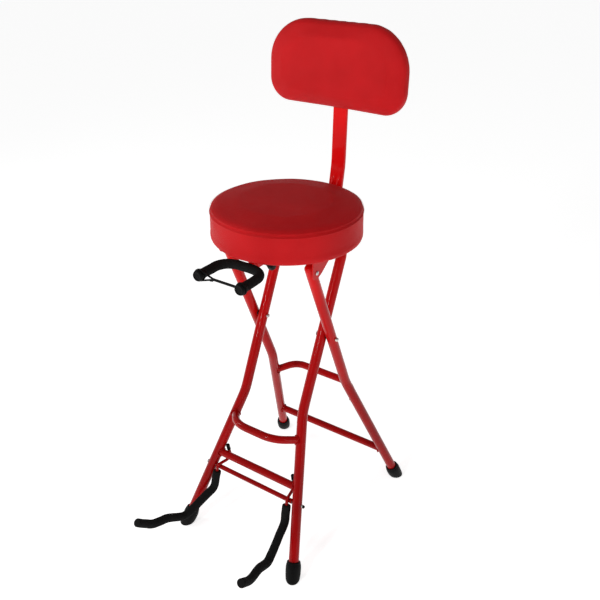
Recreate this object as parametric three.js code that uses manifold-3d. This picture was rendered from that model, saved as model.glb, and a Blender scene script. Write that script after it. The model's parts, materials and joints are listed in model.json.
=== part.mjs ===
// Folding guitar stool: two crossed tube frames, a round padded seat with a backrest,
// a neck yoke under the seat's front edge and a swing-down cradle for the instrument.
// Millimetres. +X is the sitter's left, -Y the front and +Z up.
import * as THREE from "three";
import { mergeVertices } from "three/addons/utils/BufferGeometryUtils.js";
import Module from "manifold-3d";

const wasm = await Module();
wasm.setup();

// Clearances and counts that every piece shares
const contactGap = 0.3;
const overrun = 2;
const mergeDistance = 1e-4;
const bendStepAngle = Math.PI / 8;
const legSides = 16;
const barSides = 14;
const rodSides = 8;
const boltSides = 8;
const foamSides = 10;
const hexSides = 6;
const turnedSides = 18;

// The two crossed frames
const seatUnder = 694;
const tubeBelowSeat = 23.5;
const hingeBelowSeat = 29;
const pivotHeight = 479.5;
const legDiameter = 22;
const tubeWall = 1.2;
const rearFootReach = 206.2;
const rearHalfSpacing = 100.8;
const rearFootHalfWidth = 172;
const rearFlareHeight = 335;
const frontFootReach = 215.8;
const frontFootHalfWidth = 148.6;
const frontFlareHeight = 321;
const flareRadius = 160;
const legEndHeight = 9;
const washerThickness = 1.4;
const topBendRadius = 45;
const legPastHinge = 13;

// Cross bars
const barDiameter = 17;
const straightBarHeight = 176.3;
const lowerBarHeight = 99.8;
const upperBar = {
  height: 273,
  endInset: 6.8,
  cornerInset: 40.5,
  endReach: 3.7,
  reach: 38.3,
  upTilt: THREE.MathUtils.degToRad(23.3),
  radius: 66,
};
const footrest = {
  height: 269,
  endInset: 0,
  cornerInset: 39.2,
  endReach: 0,
  reach: 48.4,
  upTilt: THREE.MathUtils.degToRad(15),
  radius: 60,
};

// Rubber foot caps
const capWallTop = 2.2;
const capWallBottom = 3.8;
const capLength = 36;
const capChamfer = 1.5;

// Fasteners
const boltDiameter = 5;
const domeRadius = 4.8;
const domeHeight = 2.6;
const lowHeadRadius = 5.4;
const lowHeadHeight = 1.2;
const washerRadius = 6;
const nutRadius = 5;
const nutLength = 4;
const nutFloor = 1.2;
const screwDiameter = 5;
const screwHeadRadius = 5.2;
const screwHeadHeight = 2.8;
const screwDepth = 9;

// Seat
const seatRadius = 152.5;
const seatThickness = 75;
const seatCentre = -15.5;
const boardRadius = 142;
const boardThickness = 12;
const seatSides = 40;
// Radius and height shares of the cushion's outline, from its lower rim to its crown
const seatOutlineShares = [
  [0.965, 0], [0.988, 0.05], [0.996, 0.14], [0.992, 0.34], [0.992, 0.56],
  [1, 0.7], [1, 0.78], [0.989, 0.86], [0.958, 0.915],
  [0.88, 0.952], [0.7, 0.982], [0.4, 1],
];

// Hinge brackets between the seat board and the rear legs
const bracketSheet = 2.5;
const bracketInner = 66;
const bracketFront = 13;
const bracketRear = 62;
const bracketDrop = 14;
const bracketHeel = 16;
const bracketScrewInset = 12;
const bracketScrewBack = 42;
const plugLength = 26;
const plugLid = 2;

// Saddles that the front frame's top tube rests in
const saddleInner = 38;
const saddleOuter = 55;
const saddleHalfDepth = 16;
const saddleLip = 7;
const saddleHeel = 4;

// Backrest
const postWidth = 32;
const postThickness = 9;
const postEdge = 3;
const postFrontEnd = 8;
const postBendRadius = 24;
const postFoot = 166;
const postFootRise = 54;
const postNeckBelowPad = 203;
const postNeckRadius = 200;
const postAbovePadCentre = 32;
const postBoltInset = 12;
const postBoltPitch = 34;
const padRise = 299;
const padDepth = 160;
const padLean = THREE.MathUtils.degToRad(2);
const padHalfWidth = 158.5;
const padHalfHeight = 85.5;
const padThickness = 32;
const padTopRadius = 86;
const padBottomRadius = 49;
const padArch = 3.5;
const padHollow = 4;
const padBoardInset = 15;
const padEdgeInset = 30;
const padBoardThickness = 10;
const padScrewBelow = 46;
const padScrewPitch = 56;
const padCornerSteps = 5;
// Inset share and depth share of each ring of the pad, from its back face to its front
const padRingShares = [
  [0.32, 1], [0.14, 0.9], [0.03, 0.6], [0, 0.25], [0, -0.2],
  [0.05, -0.62], [0.18, -0.88], [0.42, -0.97], [0.9, -1],
];

// Neck yoke
const yokeBelowSeat = 20;
const yokeHalfWidth = 49;
const yokeBendRadius = 48;
const yokeApex = -150;
const yokeCapStart = -217;
const yokeCapLength = 15;
const yokeCapRadius = 11;
const yokeGrooveDepth = 2;
const yokeGrooveWidth = 5;
const yokeGrooveStart = 4;
const yokeCapFloor = 4;
const yokeFoamDiameter = 19.5;
const rodDiameter = 8;
const stemEnd = -30;
const guideFront = -128;
const guideLength = 44;
const guideHalfWidth = 11;
const guideFloor = 5;
const guideEar = 15;
const guideEarThickness = 4;
const guideScrewPlace = 18;
const knobPlace = -117;
const knobStart = 31;
const knobLength = 12;
const knobRadius = 8.5;
const strapThickness = 3.4;
const strapBand = 5;
const strapRim = 3;
const strapLoopReach = 34;
const strapEyeReach = 26;

// Instrument cradle
const axleHeight = 146.3;
const axleDiameter = 10.6;
const armRootHalf = 94.4;
const armSplay = Math.atan(0.205);
const armFoamDiameter = 17.6;
const armFoamEnd = 7;
const armRodDiameter = 7;
const leverTipDiameter = 8.8;
const leverTipLength = 13;
const leverTipFloor = 2;
const axleBoltHead = 2.6;
const axleBoltHeadRadius = 4.4;
const axleBoltGrip = 14;
const axleCapRadius = 3.6;
const axleCapLength = 3.6;
// Corners of an arm in its own upright plane: forward of the axle, above it, and bend radius
const leverTop = { out: -23.5, up: 48.7 };
const leverHeel = { out: -31.6, radius: 12 };
const armShoulder = { out: 7, radius: 9 };
const armReach = 226;
const armTip = { out: armReach, up: -18 };
// Shares of the arm's reach
const armCornerShares = [
  { out: 0.093, up: -0.208, radius: 0.071 },
  { out: 0.469, up: -0.354, radius: 0.115 },
  { out: 0.673, up: -0.243, radius: 0.265 },
  { out: 0.841, up: -0.21, radius: 0.177 },
];
const armFoamStart = 15;

// Heights that follow from the seat's underside
const seatTop = seatUnder + seatThickness;
const topTubeHeight = seatUnder - tubeBelowSeat;
const hingeHeight = seatUnder - hingeBelowSeat;
const yokeHeight = seatUnder - yokeBelowSeat;
const postFootHeight = seatUnder + postFootRise;
const padHeight = seatUnder + padRise;
const armCorners = armCornerShares.map(({ out, up, radius }) => (
  { out: out * armReach, up: up * armReach, radius: radius * armReach }
));

const xAxis = new THREE.Vector3(1, 0, 0);
const yAxis = new THREE.Vector3(0, 1, 0);
const zAxis = new THREE.Vector3(0, 0, 1);
const legRadius = legDiameter / 2;
const barRadius = barDiameter / 2;
const boltRadius = boltDiameter / 2;
const boltHoleRadius = boltRadius + contactGap;
const screwHoleRadius = screwDiameter / 2 + contactGap;
const rodRadius = rodDiameter / 2;
const armRodRadius = armRodDiameter / 2;
const axleRadius = axleDiameter / 2;
const sides = [
  { name: "left", sign: 1 },
  { name: "right", sign: -1 },
];

// Materials
const finish = (color, roughness, metalness) =>
  new THREE.MeshStandardMaterial({ color, roughness, metalness });
const redPaint = finish(0xb5121b, 0.28, 0.25);
const redVinyl = finish(0xb21e23, 0.5, 0);
const blackFoam = finish(0x17171a, 0.95, 0);
const blackRubber = finish(0x1c1d1f, 0.75, 0);
const blackPlastic = finish(0x202124, 0.5, 0);
const zinc = finish(0xc2c5c9, 0.3, 0.9);
const plywood = finish(0xb98c5a, 0.7, 0);

// A path of straight runs joined by round bends, with one station at each end of a run
class BentPath extends THREE.Curve {
  constructor(corners, radii) {
    super();
    this.stations = [];
    const last = corners.length - 1;
    const heading = (i) => corners[i + 1].clone().sub(corners[i]).normalize();
    this.addStation(corners[0].clone(), heading(0));
    for (let i = 1; i < last; i += 1) {
      this.addBend(corners[i], heading(i - 1), heading(i), radii[i - 1]);
    }
    this.addStation(corners[last].clone(), heading(last - 1));
  }

  addStation(point, tangent) {
    this.stations.push({ point, tangent });
  }

  addBend(corner, before, after, radius) {
    const angle = before.angleTo(after);
    const inward = after.clone().sub(before).normalize();
    const centre = corner.clone().addScaledVector(inward, radius / Math.cos(angle / 2));
    const axis = before.clone().cross(after).normalize();
    const arm = corner.clone().addScaledVector(before, -radius * Math.tan(angle / 2)).sub(centre);
    const steps = Math.ceil(angle / bendStepAngle);
    for (let k = 0; k <= steps; k += 1) {
      const turn = (angle * k) / steps;
      const point = arm.clone().applyAxisAngle(axis, turn).add(centre);
      this.addStation(point, before.clone().applyAxisAngle(axis, turn));
    }
  }

  get steps() {
    return this.stations.length - 1;
  }

  getPointAt(u, target = new THREE.Vector3()) {
    return target.copy(this.stations[Math.round(u * this.steps)].point);
  }

  getTangentAt(u, target = new THREE.Vector3()) {
    return target.copy(this.stations[Math.round(u * this.steps)].tangent);
  }
}

const ring = (radius, count) =>
  Array.from({ length: count }, (_, i) => {
    const angle = (2 * Math.PI * i) / count;
    return new THREE.Vector2(radius * Math.cos(angle), radius * Math.sin(angle));
  });

function sweep(section, path) {
  return new THREE.ExtrudeGeometry(section, { steps: path.steps, extrudePath: path });
}

// A round bar along a path, hollow where it has a bore
function tube(path, radius, count, bore = 0) {
  const section = new THREE.Shape(ring(radius, count));
  if (bore > 0) section.holes.push(new THREE.Path(ring(bore, count)));
  return sweep(section, path);
}

const straight = (start, end) => new BentPath([start, end], []);

function cylinder(start, end, radius, count) {
  return tube(straight(start, end), radius, count);
}

// A turned piece: the profile's heights run from the start point along the direction
function turned(profile, start, direction, count = turnedSides) {
  const points = profile.map(([radius, height]) => new THREE.Vector2(radius, height));
  const geometry = new THREE.LatheGeometry(points, count);
  geometry.applyQuaternion(new THREE.Quaternion().setFromUnitVectors(yAxis, direction));
  return geometry.translate(start.x, start.y, start.z);
}

// A flat outline in Y and Z, given a thickness along X
function plateAlongX(outline, fromX, toX, curveSegments = 4) {
  const options = { depth: toX - fromX, bevelEnabled: false, curveSegments };
  const geometry = new THREE.ExtrudeGeometry(outline, options);
  geometry.applyMatrix4(new THREE.Matrix4().makeBasis(yAxis, zAxis, xAxis));
  return geometry.translate(fromX, 0, 0);
}

// A flat outline in X and Z, given a length backwards along Y from its front face
function plateAlongY(outline, frontY, length, curveSegments = 4) {
  const options = { depth: length, bevelEnabled: false, curveSegments };
  const geometry = new THREE.ExtrudeGeometry(outline, options);
  const forward = yAxis.clone().negate();
  geometry.applyMatrix4(new THREE.Matrix4().makeBasis(xAxis, zAxis, forward));
  return geometry.translate(0, frontY + length, 0);
}

function solidOf(geometry) {
  const bare = geometry.clone();
  bare.deleteAttribute("normal");
  bare.deleteAttribute("uv");
  const merged = mergeVertices(bare, mergeDistance);
  const vertProperties = merged.attributes.position.array;
  const triVerts = new Uint32Array(merged.index.array);
  return new wasm.Manifold(new wasm.Mesh({ numProp: 3, vertProperties, triVerts }));
}

function geometryOf(solid) {
  const { vertProperties, triVerts } = solid.getMesh();
  const indexed = new THREE.BufferGeometry();
  indexed.setAttribute("position", new THREE.BufferAttribute(vertProperties, 3));
  indexed.setIndex(new THREE.BufferAttribute(triVerts, 1));
  const geometry = indexed.toNonIndexed();
  geometry.computeVertexNormals();
  return geometry;
}

function cut(geometry, ...cutters) {
  const start = solidOf(geometry);
  return geometryOf(cutters.reduce((solid, cutter) => solid.subtract(solidOf(cutter)), start));
}

function join(geometry, ...others) {
  const start = solidOf(geometry);
  return geometryOf(others.reduce((solid, other) => solid.add(solidOf(other)), start));
}

// One closed body through rings of equal count, closed at both ends by fans
function loft(rings) {
  const count = rings[0].length;
  const points = rings.flat();
  const faces = [];
  const fan = (start, flipped) => {
    const centre = new THREE.Vector3();
    for (let i = 0; i < count; i += 1) centre.addScaledVector(points[start + i], 1 / count);
    points.push(centre);
    for (let i = 0; i < count; i += 1) {
      const a = start + i;
      const b = start + ((i + 1) % count);
      faces.push(...(flipped ? [points.length - 1, b, a] : [points.length - 1, a, b]));
    }
  };
  for (let r = 0; r + 1 < rings.length; r += 1) {
    for (let i = 0; i < count; i += 1) {
      const a = r * count + i;
      const b = r * count + ((i + 1) % count);
      faces.push(a, a + count, b, b, a + count, b + count);
    }
  }
  fan(0, false);
  fan((rings.length - 1) * count, true);
  const geometry = new THREE.BufferGeometry().setFromPoints(points);
  geometry.setIndex(faces);
  geometry.computeVertexNormals();
  return geometry;
}

function mesh(name, geometry, material) {
  const piece = new THREE.Mesh(geometry, material);
  piece.name = name;
  return piece;
}

// A domed bolt or screw whose head rests on a face and whose shank runs down into it
function screw(face, inward, headRadius, headHeight, shankRadius, length) {
  const outward = inward.clone().negate();
  const seat = face.clone().addScaledVector(outward, contactGap);
  const chamfer = headHeight / 3;
  const profile = [
    [0, -length],
    [shankRadius, -length],
    [shankRadius, 0],
    [headRadius, 0],
    [headRadius, headHeight - 2 * chamfer],
    [headRadius - chamfer, headHeight - chamfer / 2],
    [headRadius / 2, headHeight],
    [0, headHeight],
  ];
  return turned(profile, seat, outward, boltSides);
}

function hole(face, inward, radius, length) {
  const start = face.clone().addScaledVector(inward, -overrun);
  const end = face.clone().addScaledVector(inward, length);
  return cylinder(start, end, radius, boltSides);
}

// Leg planes: each frame leans about the pivot
const frontLean = frontFootReach / pivotHeight;
const rearLean = rearFootReach / pivotHeight;
const onFront = (x, z) => new THREE.Vector3(x, (z - pivotHeight) * frontLean, z);
const onRear = (x, z) => new THREE.Vector3(x, (pivotHeight - z) * rearLean, z);
const frontHalfSpacing = rearHalfSpacing - legDiameter - washerThickness - 2 * contactGap;

const frontFrame = {
  place: onFront,
  half: frontHalfSpacing,
  footHalf: frontFootHalfWidth,
  flare: frontFlareHeight,
  lean: frontLean,
  outward: new THREE.Vector3(0, -1, frontLean).normalize(),
};
const rearFrame = {
  place: onRear,
  half: rearHalfSpacing,
  footHalf: rearFootHalfWidth,
  flare: rearFlareHeight,
  lean: rearLean,
  outward: new THREE.Vector3(0, 1, rearLean).normalize(),
};

function legHalfWidthAt(frame, z) {
  const share = (frame.flare - z) / (frame.flare - legEndHeight);
  return frame.half + (frame.footHalf - frame.half) * Math.max(share, 0);
}

const riseOf = (frame) => 1 / Math.hypot(1, frame.lean);
const legTopOf = (frame) =>
  frame === frontFrame
    ? topTubeHeight - topBendRadius * riseOf(frame) - contactGap
    : hingeHeight + legPastHinge * riseOf(frame);

function legGeometry(frame, sign) {
  const corners = [
    frame.place(sign * frame.half, legTopOf(frame)),
    frame.place(sign * frame.half, frame.flare),
    frame.place(sign * frame.footHalf, legEndHeight),
  ];
  return tube(new BentPath(corners, [flareRadius]), legRadius, legSides, legRadius - tubeWall);
}

// The space that a leg and its gap take, for coping the bars that meet it
function legSpace(frame, sign) {
  const top = frame.place(sign * frame.half, frame.flare);
  const foot = frame.place(sign * frame.footHalf, legEndHeight);
  return cylinder(top, foot, legRadius + contactGap, legSides);
}

// A tapered cap on a leg's end, cut level where it stands on the floor
function footGeometry(frame, sign) {
  const end = frame.place(sign * frame.footHalf, legEndHeight);
  const up = frame.place(sign * frame.half, frame.flare).sub(end).normalize();
  const bore = legRadius + contactGap;
  const topRadius = legRadius + capWallTop;
  const bottomRadius = legRadius + capWallBottom;
  const below = legEndHeight + bottomRadius;
  const profile = [
    [0, -below],
    [bottomRadius, -below],
    [bottomRadius, 0],
    [topRadius, capLength - capChamfer],
    [topRadius - capChamfer, capLength],
    [bore, capLength],
    [bore, -contactGap],
    [0, -contactGap],
  ];
  const floorSize = 2 * below + 2 * bottomRadius;
  const floor = new THREE.BoxGeometry(floorSize, floorSize, floorSize);
  floor.translate(end.x, end.y, -floorSize / 2);
  return cut(turned(profile, end, up), floor);
}

const pivotPoint = (x) => new THREE.Vector3(x, 0, pivotHeight);
const hingePoint = (x) => onRear(x, hingeHeight);
const axlePoint = (x) => onFront(x, axleHeight);
const inwardFrom = (sign) => new THREE.Vector3(-sign, 0, 0);

function crossHole(point, radius) {
  const reach = xAxis.clone().multiplyScalar(legDiameter);
  return cylinder(point.clone().sub(reach), point.clone().add(reach), radius, boltSides);
}

function straightBar(frame, height) {
  const half = legHalfWidthAt(frame, height);
  const path = straight(frame.place(-half, height), frame.place(half, height));
  const bar = tube(path, barRadius, barSides, barRadius - tubeWall);
  return cut(bar, legSpace(frame, 1), legSpace(frame, -1));
}

// A bar with two bends, standing off the legs that carry its ends and tilted up from level as it does
function bowedBar(frame, { height, endInset, cornerInset, endReach, reach, upTilt, radius }) {
  const outward = new THREE.Vector3(0, Math.sign(frame.outward.y) * Math.cos(upTilt), Math.sin(upTilt));
  const half = legHalfWidthAt(frame, height);
  const at = (x, distance) => frame.place(x, height).addScaledVector(outward, distance);
  const corners = [
    at(endInset - half, endReach),
    at(cornerInset - half, reach),
    at(half - cornerInset, reach),
    at(half - endInset, endReach),
  ];
  const path = new BentPath(corners, [radius, radius]);
  const bar = tube(path, barRadius, barSides, barRadius - tubeWall);
  return cut(bar, legSpace(frame, 1), legSpace(frame, -1));
}

function rearFrameGroup() {
  const group = new THREE.Group();
  const lower = straightBar(rearFrame, lowerBarHeight);
  group.add(mesh("rear_lower_bar", lower, redPaint));
  group.add(mesh("rear_upper_bar", bowedBar(rearFrame, upperBar), redPaint));
  for (const { name, sign } of sides) {
    const x = sign * rearHalfSpacing;
    const inward = inwardFrom(sign);
    const outer = sign * (rearHalfSpacing + legRadius);
    const boltHole = hole(hingePoint(outer), inward, boltHoleRadius, legRadius);
    const leg = cut(legGeometry(rearFrame, sign), crossHole(pivotPoint(x), boltHoleRadius), boltHole);
    group.add(mesh(`rear_leg_${name}`, leg, redPaint));
    group.add(mesh(`rear_foot_${name}`, footGeometry(rearFrame, sign), blackRubber));
    group.add(mesh(`leg_plug_${name}`, legPlug(sign, boltHole), redPaint));
    group.add(mesh(`hinge_bolt_${name}`, hingeBolt(sign), zinc));
    group.add(mesh(`pivot_bolt_${name}`, pivotBolt(sign), zinc));
    group.add(mesh(`pivot_washer_${name}`, pivotWasher(sign), blackPlastic));
    group.add(mesh(`pivot_nut_${name}`, pivotNut(sign), zinc));
  }
  return group;
}

// A lidded plug in a rear leg's open top, with the hinge bolt's thread
function legPlug(sign, boltHole) {
  const top = onRear(sign * rearHalfSpacing, legTopOf(rearFrame));
  const up = onRear(0, hingeHeight).sub(onRear(0, pivotHeight)).normalize();
  const core = legRadius - tubeWall - contactGap;
  const profile = [
    [0, -plugLength],
    [core, -plugLength],
    [core, contactGap],
    [legRadius, contactGap],
    [legRadius, contactGap + plugLid / 2],
    [legRadius - plugLid / 2, contactGap + plugLid],
    [0, contactGap + plugLid],
  ];
  return cut(turned(profile, top, up, legSides), boltHole);
}

const bracketOuter = rearHalfSpacing + legRadius + contactGap + bracketSheet;

function hingeBolt(sign) {
  const face = hingePoint(sign * bracketOuter);
  return screw(face, inwardFrom(sign), domeRadius, domeHeight, boltRadius,
    bracketSheet + legRadius - contactGap);
}

// Both pivot bolts go in from the sitter's right, so their nuts are on their left ends
function pivotSpan(sign) {
  const inner = frontHalfSpacing - legRadius;
  const outer = rearHalfSpacing + legRadius;
  return sign > 0 ? { head: inner, nut: outer } : { head: -outer, nut: -inner };
}

function pivotBolt(sign) {
  const { head, nut } = pivotSpan(sign);
  return screw(pivotPoint(head), xAxis, lowHeadRadius, lowHeadHeight, boltRadius,
    nut - head + nutLength - nutFloor);
}

function pivotWasher(sign) {
  const outer = rearHalfSpacing - legRadius - contactGap;
  const profile = [
    [boltHoleRadius, 0],
    [washerRadius, 0],
    [washerRadius, washerThickness],
    [boltHoleRadius, washerThickness],
    [boltHoleRadius, 0],
  ];
  return turned(profile, pivotPoint(sign * outer), inwardFrom(sign));
}

// A blind hex nut over the pivot bolt's end
function pivotNut(sign) {
  const profile = [
    [0, 0],
    [nutRadius, 0],
    [nutRadius, nutLength / 2],
    [boltHoleRadius, nutLength + nutFloor],
    [0, nutLength + nutFloor],
  ];
  const face = pivotPoint(pivotSpan(sign).nut + contactGap);
  const thread = hole(face, xAxis, boltHoleRadius, nutLength - nutFloor + contactGap);
  return cut(turned(profile, face, xAxis, hexSides), thread);
}

function frontFrameGroup() {
  const group = new THREE.Group();
  const joint = topTubeHeight - topBendRadius * riseOf(frontFrame);
  const corners = [
    onFront(-frontHalfSpacing, joint),
    onFront(-frontHalfSpacing, topTubeHeight),
    onFront(frontHalfSpacing, topTubeHeight),
    onFront(frontHalfSpacing, joint),
  ];
  const bend = new BentPath(corners, [topBendRadius - contactGap, topBendRadius - contactGap]);
  const top = tube(bend, legRadius, legSides, legRadius - tubeWall);
  group.add(mesh("front_top_tube", top, redPaint));
  group.add(mesh("footrest_bar", bowedBar(frontFrame, footrest), redPaint));
  group.add(mesh("front_straight_bar", straightBar(frontFrame, straightBarHeight), redPaint));
  group.add(mesh("axle_bolt_cap", axleBoltCap(), blackPlastic));
  for (const { name, sign } of sides) {
    const x = sign * frontHalfSpacing;
    const axleX = sign * legHalfWidthAt(frontFrame, axleHeight);
    const leg = cut(legGeometry(frontFrame, sign), crossHole(pivotPoint(x), boltHoleRadius),
      crossHole(axlePoint(axleX), boltHoleRadius));
    group.add(mesh(`front_leg_${name}`, leg, redPaint));
    group.add(mesh(`front_foot_${name}`, footGeometry(frontFrame, sign), blackRubber));
    group.add(mesh(`axle_bolt_${name}`, axleBolt(sign), zinc));
  }
  return group;
}

// The legs slant where the axle meets them, so a flat end stands off by its radius times this
const frontFlareSlope = (frontFootHalfWidth - frontHalfSpacing) * riseOf(frontFrame) /
  (frontFlareHeight - legEndHeight);
const legStretch = Math.hypot(1, frontFlareSlope);
const axleLegHalf = legHalfWidthAt(frontFrame, axleHeight);
const axleLegInner = axleLegHalf - legRadius * legStretch;
const axleLegOuter = axleLegHalf + legRadius * legStretch;
const axleHalf = axleLegInner - contactGap - axleRadius * frontFlareSlope;
const axleBoltFace = axleLegOuter + axleBoltHeadRadius * frontFlareSlope;

// The left bolt has a raised head with a cap, the right one a low head
function axleBolt(sign) {
  const length = axleBoltFace - axleHalf + axleBoltGrip;
  const height = sign > 0 ? axleBoltHead : lowHeadHeight;
  const profile = [
    [0, -length],
    [boltRadius, -length],
    [boltRadius, 0],
    [axleBoltHeadRadius, 0],
    [axleBoltHeadRadius, height],
    [0, height],
  ];
  const face = axlePoint(sign * (axleBoltFace + contactGap));
  return turned(profile, face, inwardFrom(-sign), boltSides);
}

function axleBoltCap() {
  const profile = [
    [0, 0],
    [axleCapRadius, 0],
    [axleCapRadius, axleCapLength / 2],
    [axleCapRadius / 2, axleCapLength],
    [0, axleCapLength],
  ];
  const face = axleBoltFace + contactGap + axleBoltHead + contactGap;
  return turned(profile, axlePoint(face), xAxis, boltSides);
}

const boardBottom = seatUnder + contactGap;
const platedFace = boardBottom - contactGap;

function seatCushion() {
  const depth = seatTop - seatUnder;
  const recess = boardRadius + contactGap;
  const recessTop = boardBottom + boardThickness + contactGap;
  const outline = seatOutlineShares.map(([radius, height]) => [
    seatRadius * radius,
    seatUnder + depth * height,
  ]);
  const profile = [[0, recessTop], [recess, recessTop], [recess, seatUnder], ...outline, [0, seatTop]];
  return turned(profile, new THREE.Vector3(0, seatCentre, 0), zAxis, seatSides);
}

// Where a fastener enters the board from below
const underBoard = (x, y) => new THREE.Vector3(x, y, boardBottom);

function postBoltPlaces() {
  const first = postFrontEnd + postBoltInset;
  return [first, first + postBoltPitch];
}

const bracketScrewPlace = (sign) => ({
  x: sign * (bracketInner + bracketScrewInset),
  y: hingePoint(0).y + bracketScrewBack,
});
const guideCentre = guideFront + guideLength / 2;

function seatBoard() {
  const profile = [
    [0, 0],
    [boardRadius, 0],
    [boardRadius, boardThickness],
    [0, boardThickness],
  ];
  const disc = turned(profile, new THREE.Vector3(0, seatCentre, boardBottom), zAxis, seatSides);
  const places = postBoltPlaces().map((y) => [0, y]);
  for (const { sign } of sides) {
    const place = bracketScrewPlace(sign);
    places.push([place.x, place.y], [sign * guideScrewPlace, guideCentre]);
  }
  const holes = places.map(([x, y]) => hole(underBoard(x, y), zAxis, screwHoleRadius, screwDepth));
  return cut(disc, ...holes);
}

// A bent sheet bracket: a plate under the board and a flange outside the leg
function hingeBracket(sign) {
  const { y, z } = hingePoint(0);
  const outline = new THREE.Shape();
  outline.moveTo(y - bracketFront, platedFace - contactGap);
  outline.lineTo(y - bracketFront, z);
  outline.quadraticCurveTo(y - bracketFront, z - bracketDrop, y, z - bracketDrop);
  outline.lineTo(y + bracketHeel, z - bracketDrop / 2);
  outline.lineTo(y + bracketRear, platedFace - contactGap - bracketSheet);
  outline.lineTo(y + bracketRear, platedFace - contactGap);
  const inner = bracketOuter - bracketSheet;
  const spans = sign > 0 ? [inner, bracketOuter] : [-bracketOuter, -inner];
  const flange = plateAlongX(outline, ...spans);
  const width = bracketOuter - bracketInner;
  const length = bracketFront + bracketRear;
  const plate = new THREE.BoxGeometry(width, length, bracketSheet);
  plate.translate(sign * (bracketInner + width / 2), y - bracketFront + length / 2,
    platedFace - contactGap - bracketSheet / 2);
  const place = bracketScrewPlace(sign);
  const screwFace = new THREE.Vector3(place.x, place.y, platedFace - contactGap - bracketSheet);
  const screwHole = hole(screwFace, zAxis, screwHoleRadius, bracketSheet + overrun);
  const pinHole = hole(hingePoint(sign * bracketOuter), inwardFrom(sign), boltHoleRadius,
    bracketSheet + contactGap);
  return cut(join(flange, plate), screwHole, pinHole);
}

function boardScrew(x, y, stack) {
  const face = new THREE.Vector3(x, y, platedFace - contactGap - stack);
  return screw(face, zAxis, screwHeadRadius, screwHeadHeight, screwDiameter / 2,
    stack + 2 * contactGap + screwDepth - overrun);
}

// An open saddle: a short front lip, so the tube can leave forwards, and a deeper rear wall
function saddle(sign) {
  const { y, z } = onFront(0, topTubeHeight);
  const top = platedFace - contactGap;
  const bore = legRadius + contactGap;
  const lipReach = Math.sqrt(bore ** 2 - saddleLip ** 2);
  const heelReach = Math.sqrt(bore ** 2 - saddleHeel ** 2);
  const outline = new THREE.Shape();
  outline.moveTo(y - saddleHalfDepth, top);
  outline.lineTo(y - saddleHalfDepth, z + saddleLip);
  outline.lineTo(y - lipReach, z + saddleLip);
  outline.absarc(y, z, bore, Math.atan2(saddleLip, -lipReach), Math.atan2(-saddleHeel, heelReach), true);
  outline.lineTo(y + saddleHalfDepth, z - saddleHeel);
  outline.lineTo(y + saddleHalfDepth, top);
  const spans = sign > 0 ? [saddleInner, saddleOuter] : [-saddleOuter, -saddleInner];
  return plateAlongX(outline, ...spans, turnedSides / 2);
}

// The pad's own frame has its centre at zero, its front to -Y and leans back as a whole
const padPlace = new THREE.Matrix4()
  .makeTranslation(0, padDepth, padHeight)
  .multiply(new THREE.Matrix4().makeRotationX(-padLean));
const padPoint = (x, y, z) => new THREE.Vector3(x, y, z).applyMatrix4(padPlace);
const padInward = yAxis.clone().negate().transformDirection(padPlace);
const padHalfThickness = padThickness / 2;

// Points around the pad at an inset from its outline, all at one depth before the hollow
function padRing(inset, depth) {
  const points = [];
  const corners = [
    { x: 1, z: 1, radius: padTopRadius, from: 0 },
    { x: -1, z: 1, radius: padTopRadius, from: 1 },
    { x: -1, z: -1, radius: padBottomRadius, from: 2 },
    { x: 1, z: -1, radius: padBottomRadius, from: 3 },
  ];
  for (const corner of corners) {
    for (let k = 0; k <= padCornerSteps; k += 1) {
      const angle = ((corner.from + k / padCornerSteps) * Math.PI) / 2;
      const centreX = corner.x * (padHalfWidth - corner.radius);
      const centreZ = corner.z * (padHalfHeight - corner.radius);
      const x = centreX + (corner.radius - inset) * Math.cos(angle);
      const z = centreZ + (corner.radius - inset) * Math.sin(angle);
      const acrossShare = x / padHalfWidth;
      const arch = padArch * (z / padHalfHeight) * (1 - acrossShare ** 2) - padArch * (z / padHalfHeight);
      points.push(new THREE.Vector3(x, depth - padHollow * acrossShare ** 2, z + arch));
    }
    if (corner.from === 0 || corner.from === 2) {
      const x = 0;
      const z = corner.z * (padHalfHeight - inset);
      points.push(new THREE.Vector3(x, depth, z));
    }
  }
  return points.map((point) => point.applyMatrix4(padPlace));
}

function backrestPad() {
  const recess = padBoardInset - contactGap;
  const recessFloor = padHalfThickness - padBoardThickness - contactGap;
  const rings = [padRing(recess, recessFloor), padRing(recess, padHalfThickness)];
  for (const [inset, depth] of padRingShares) {
    rings.push(padRing(inset * padEdgeInset, depth * padHalfThickness));
  }
  return loft(rings.reverse());
}

const padScrewPlaces = [-padScrewBelow, -padScrewBelow + padScrewPitch];

function backrestBoard() {
  const front = padHalfThickness - padBoardThickness;
  const board = loft([padRing(padBoardInset, padHalfThickness), padRing(padBoardInset, front)].reverse());
  const holes = padScrewPlaces.map((z) =>
    hole(padPoint(0, padHalfThickness, z), padInward, screwHoleRadius, padBoardThickness / 2));
  return cut(board, ...holes);
}

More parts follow.
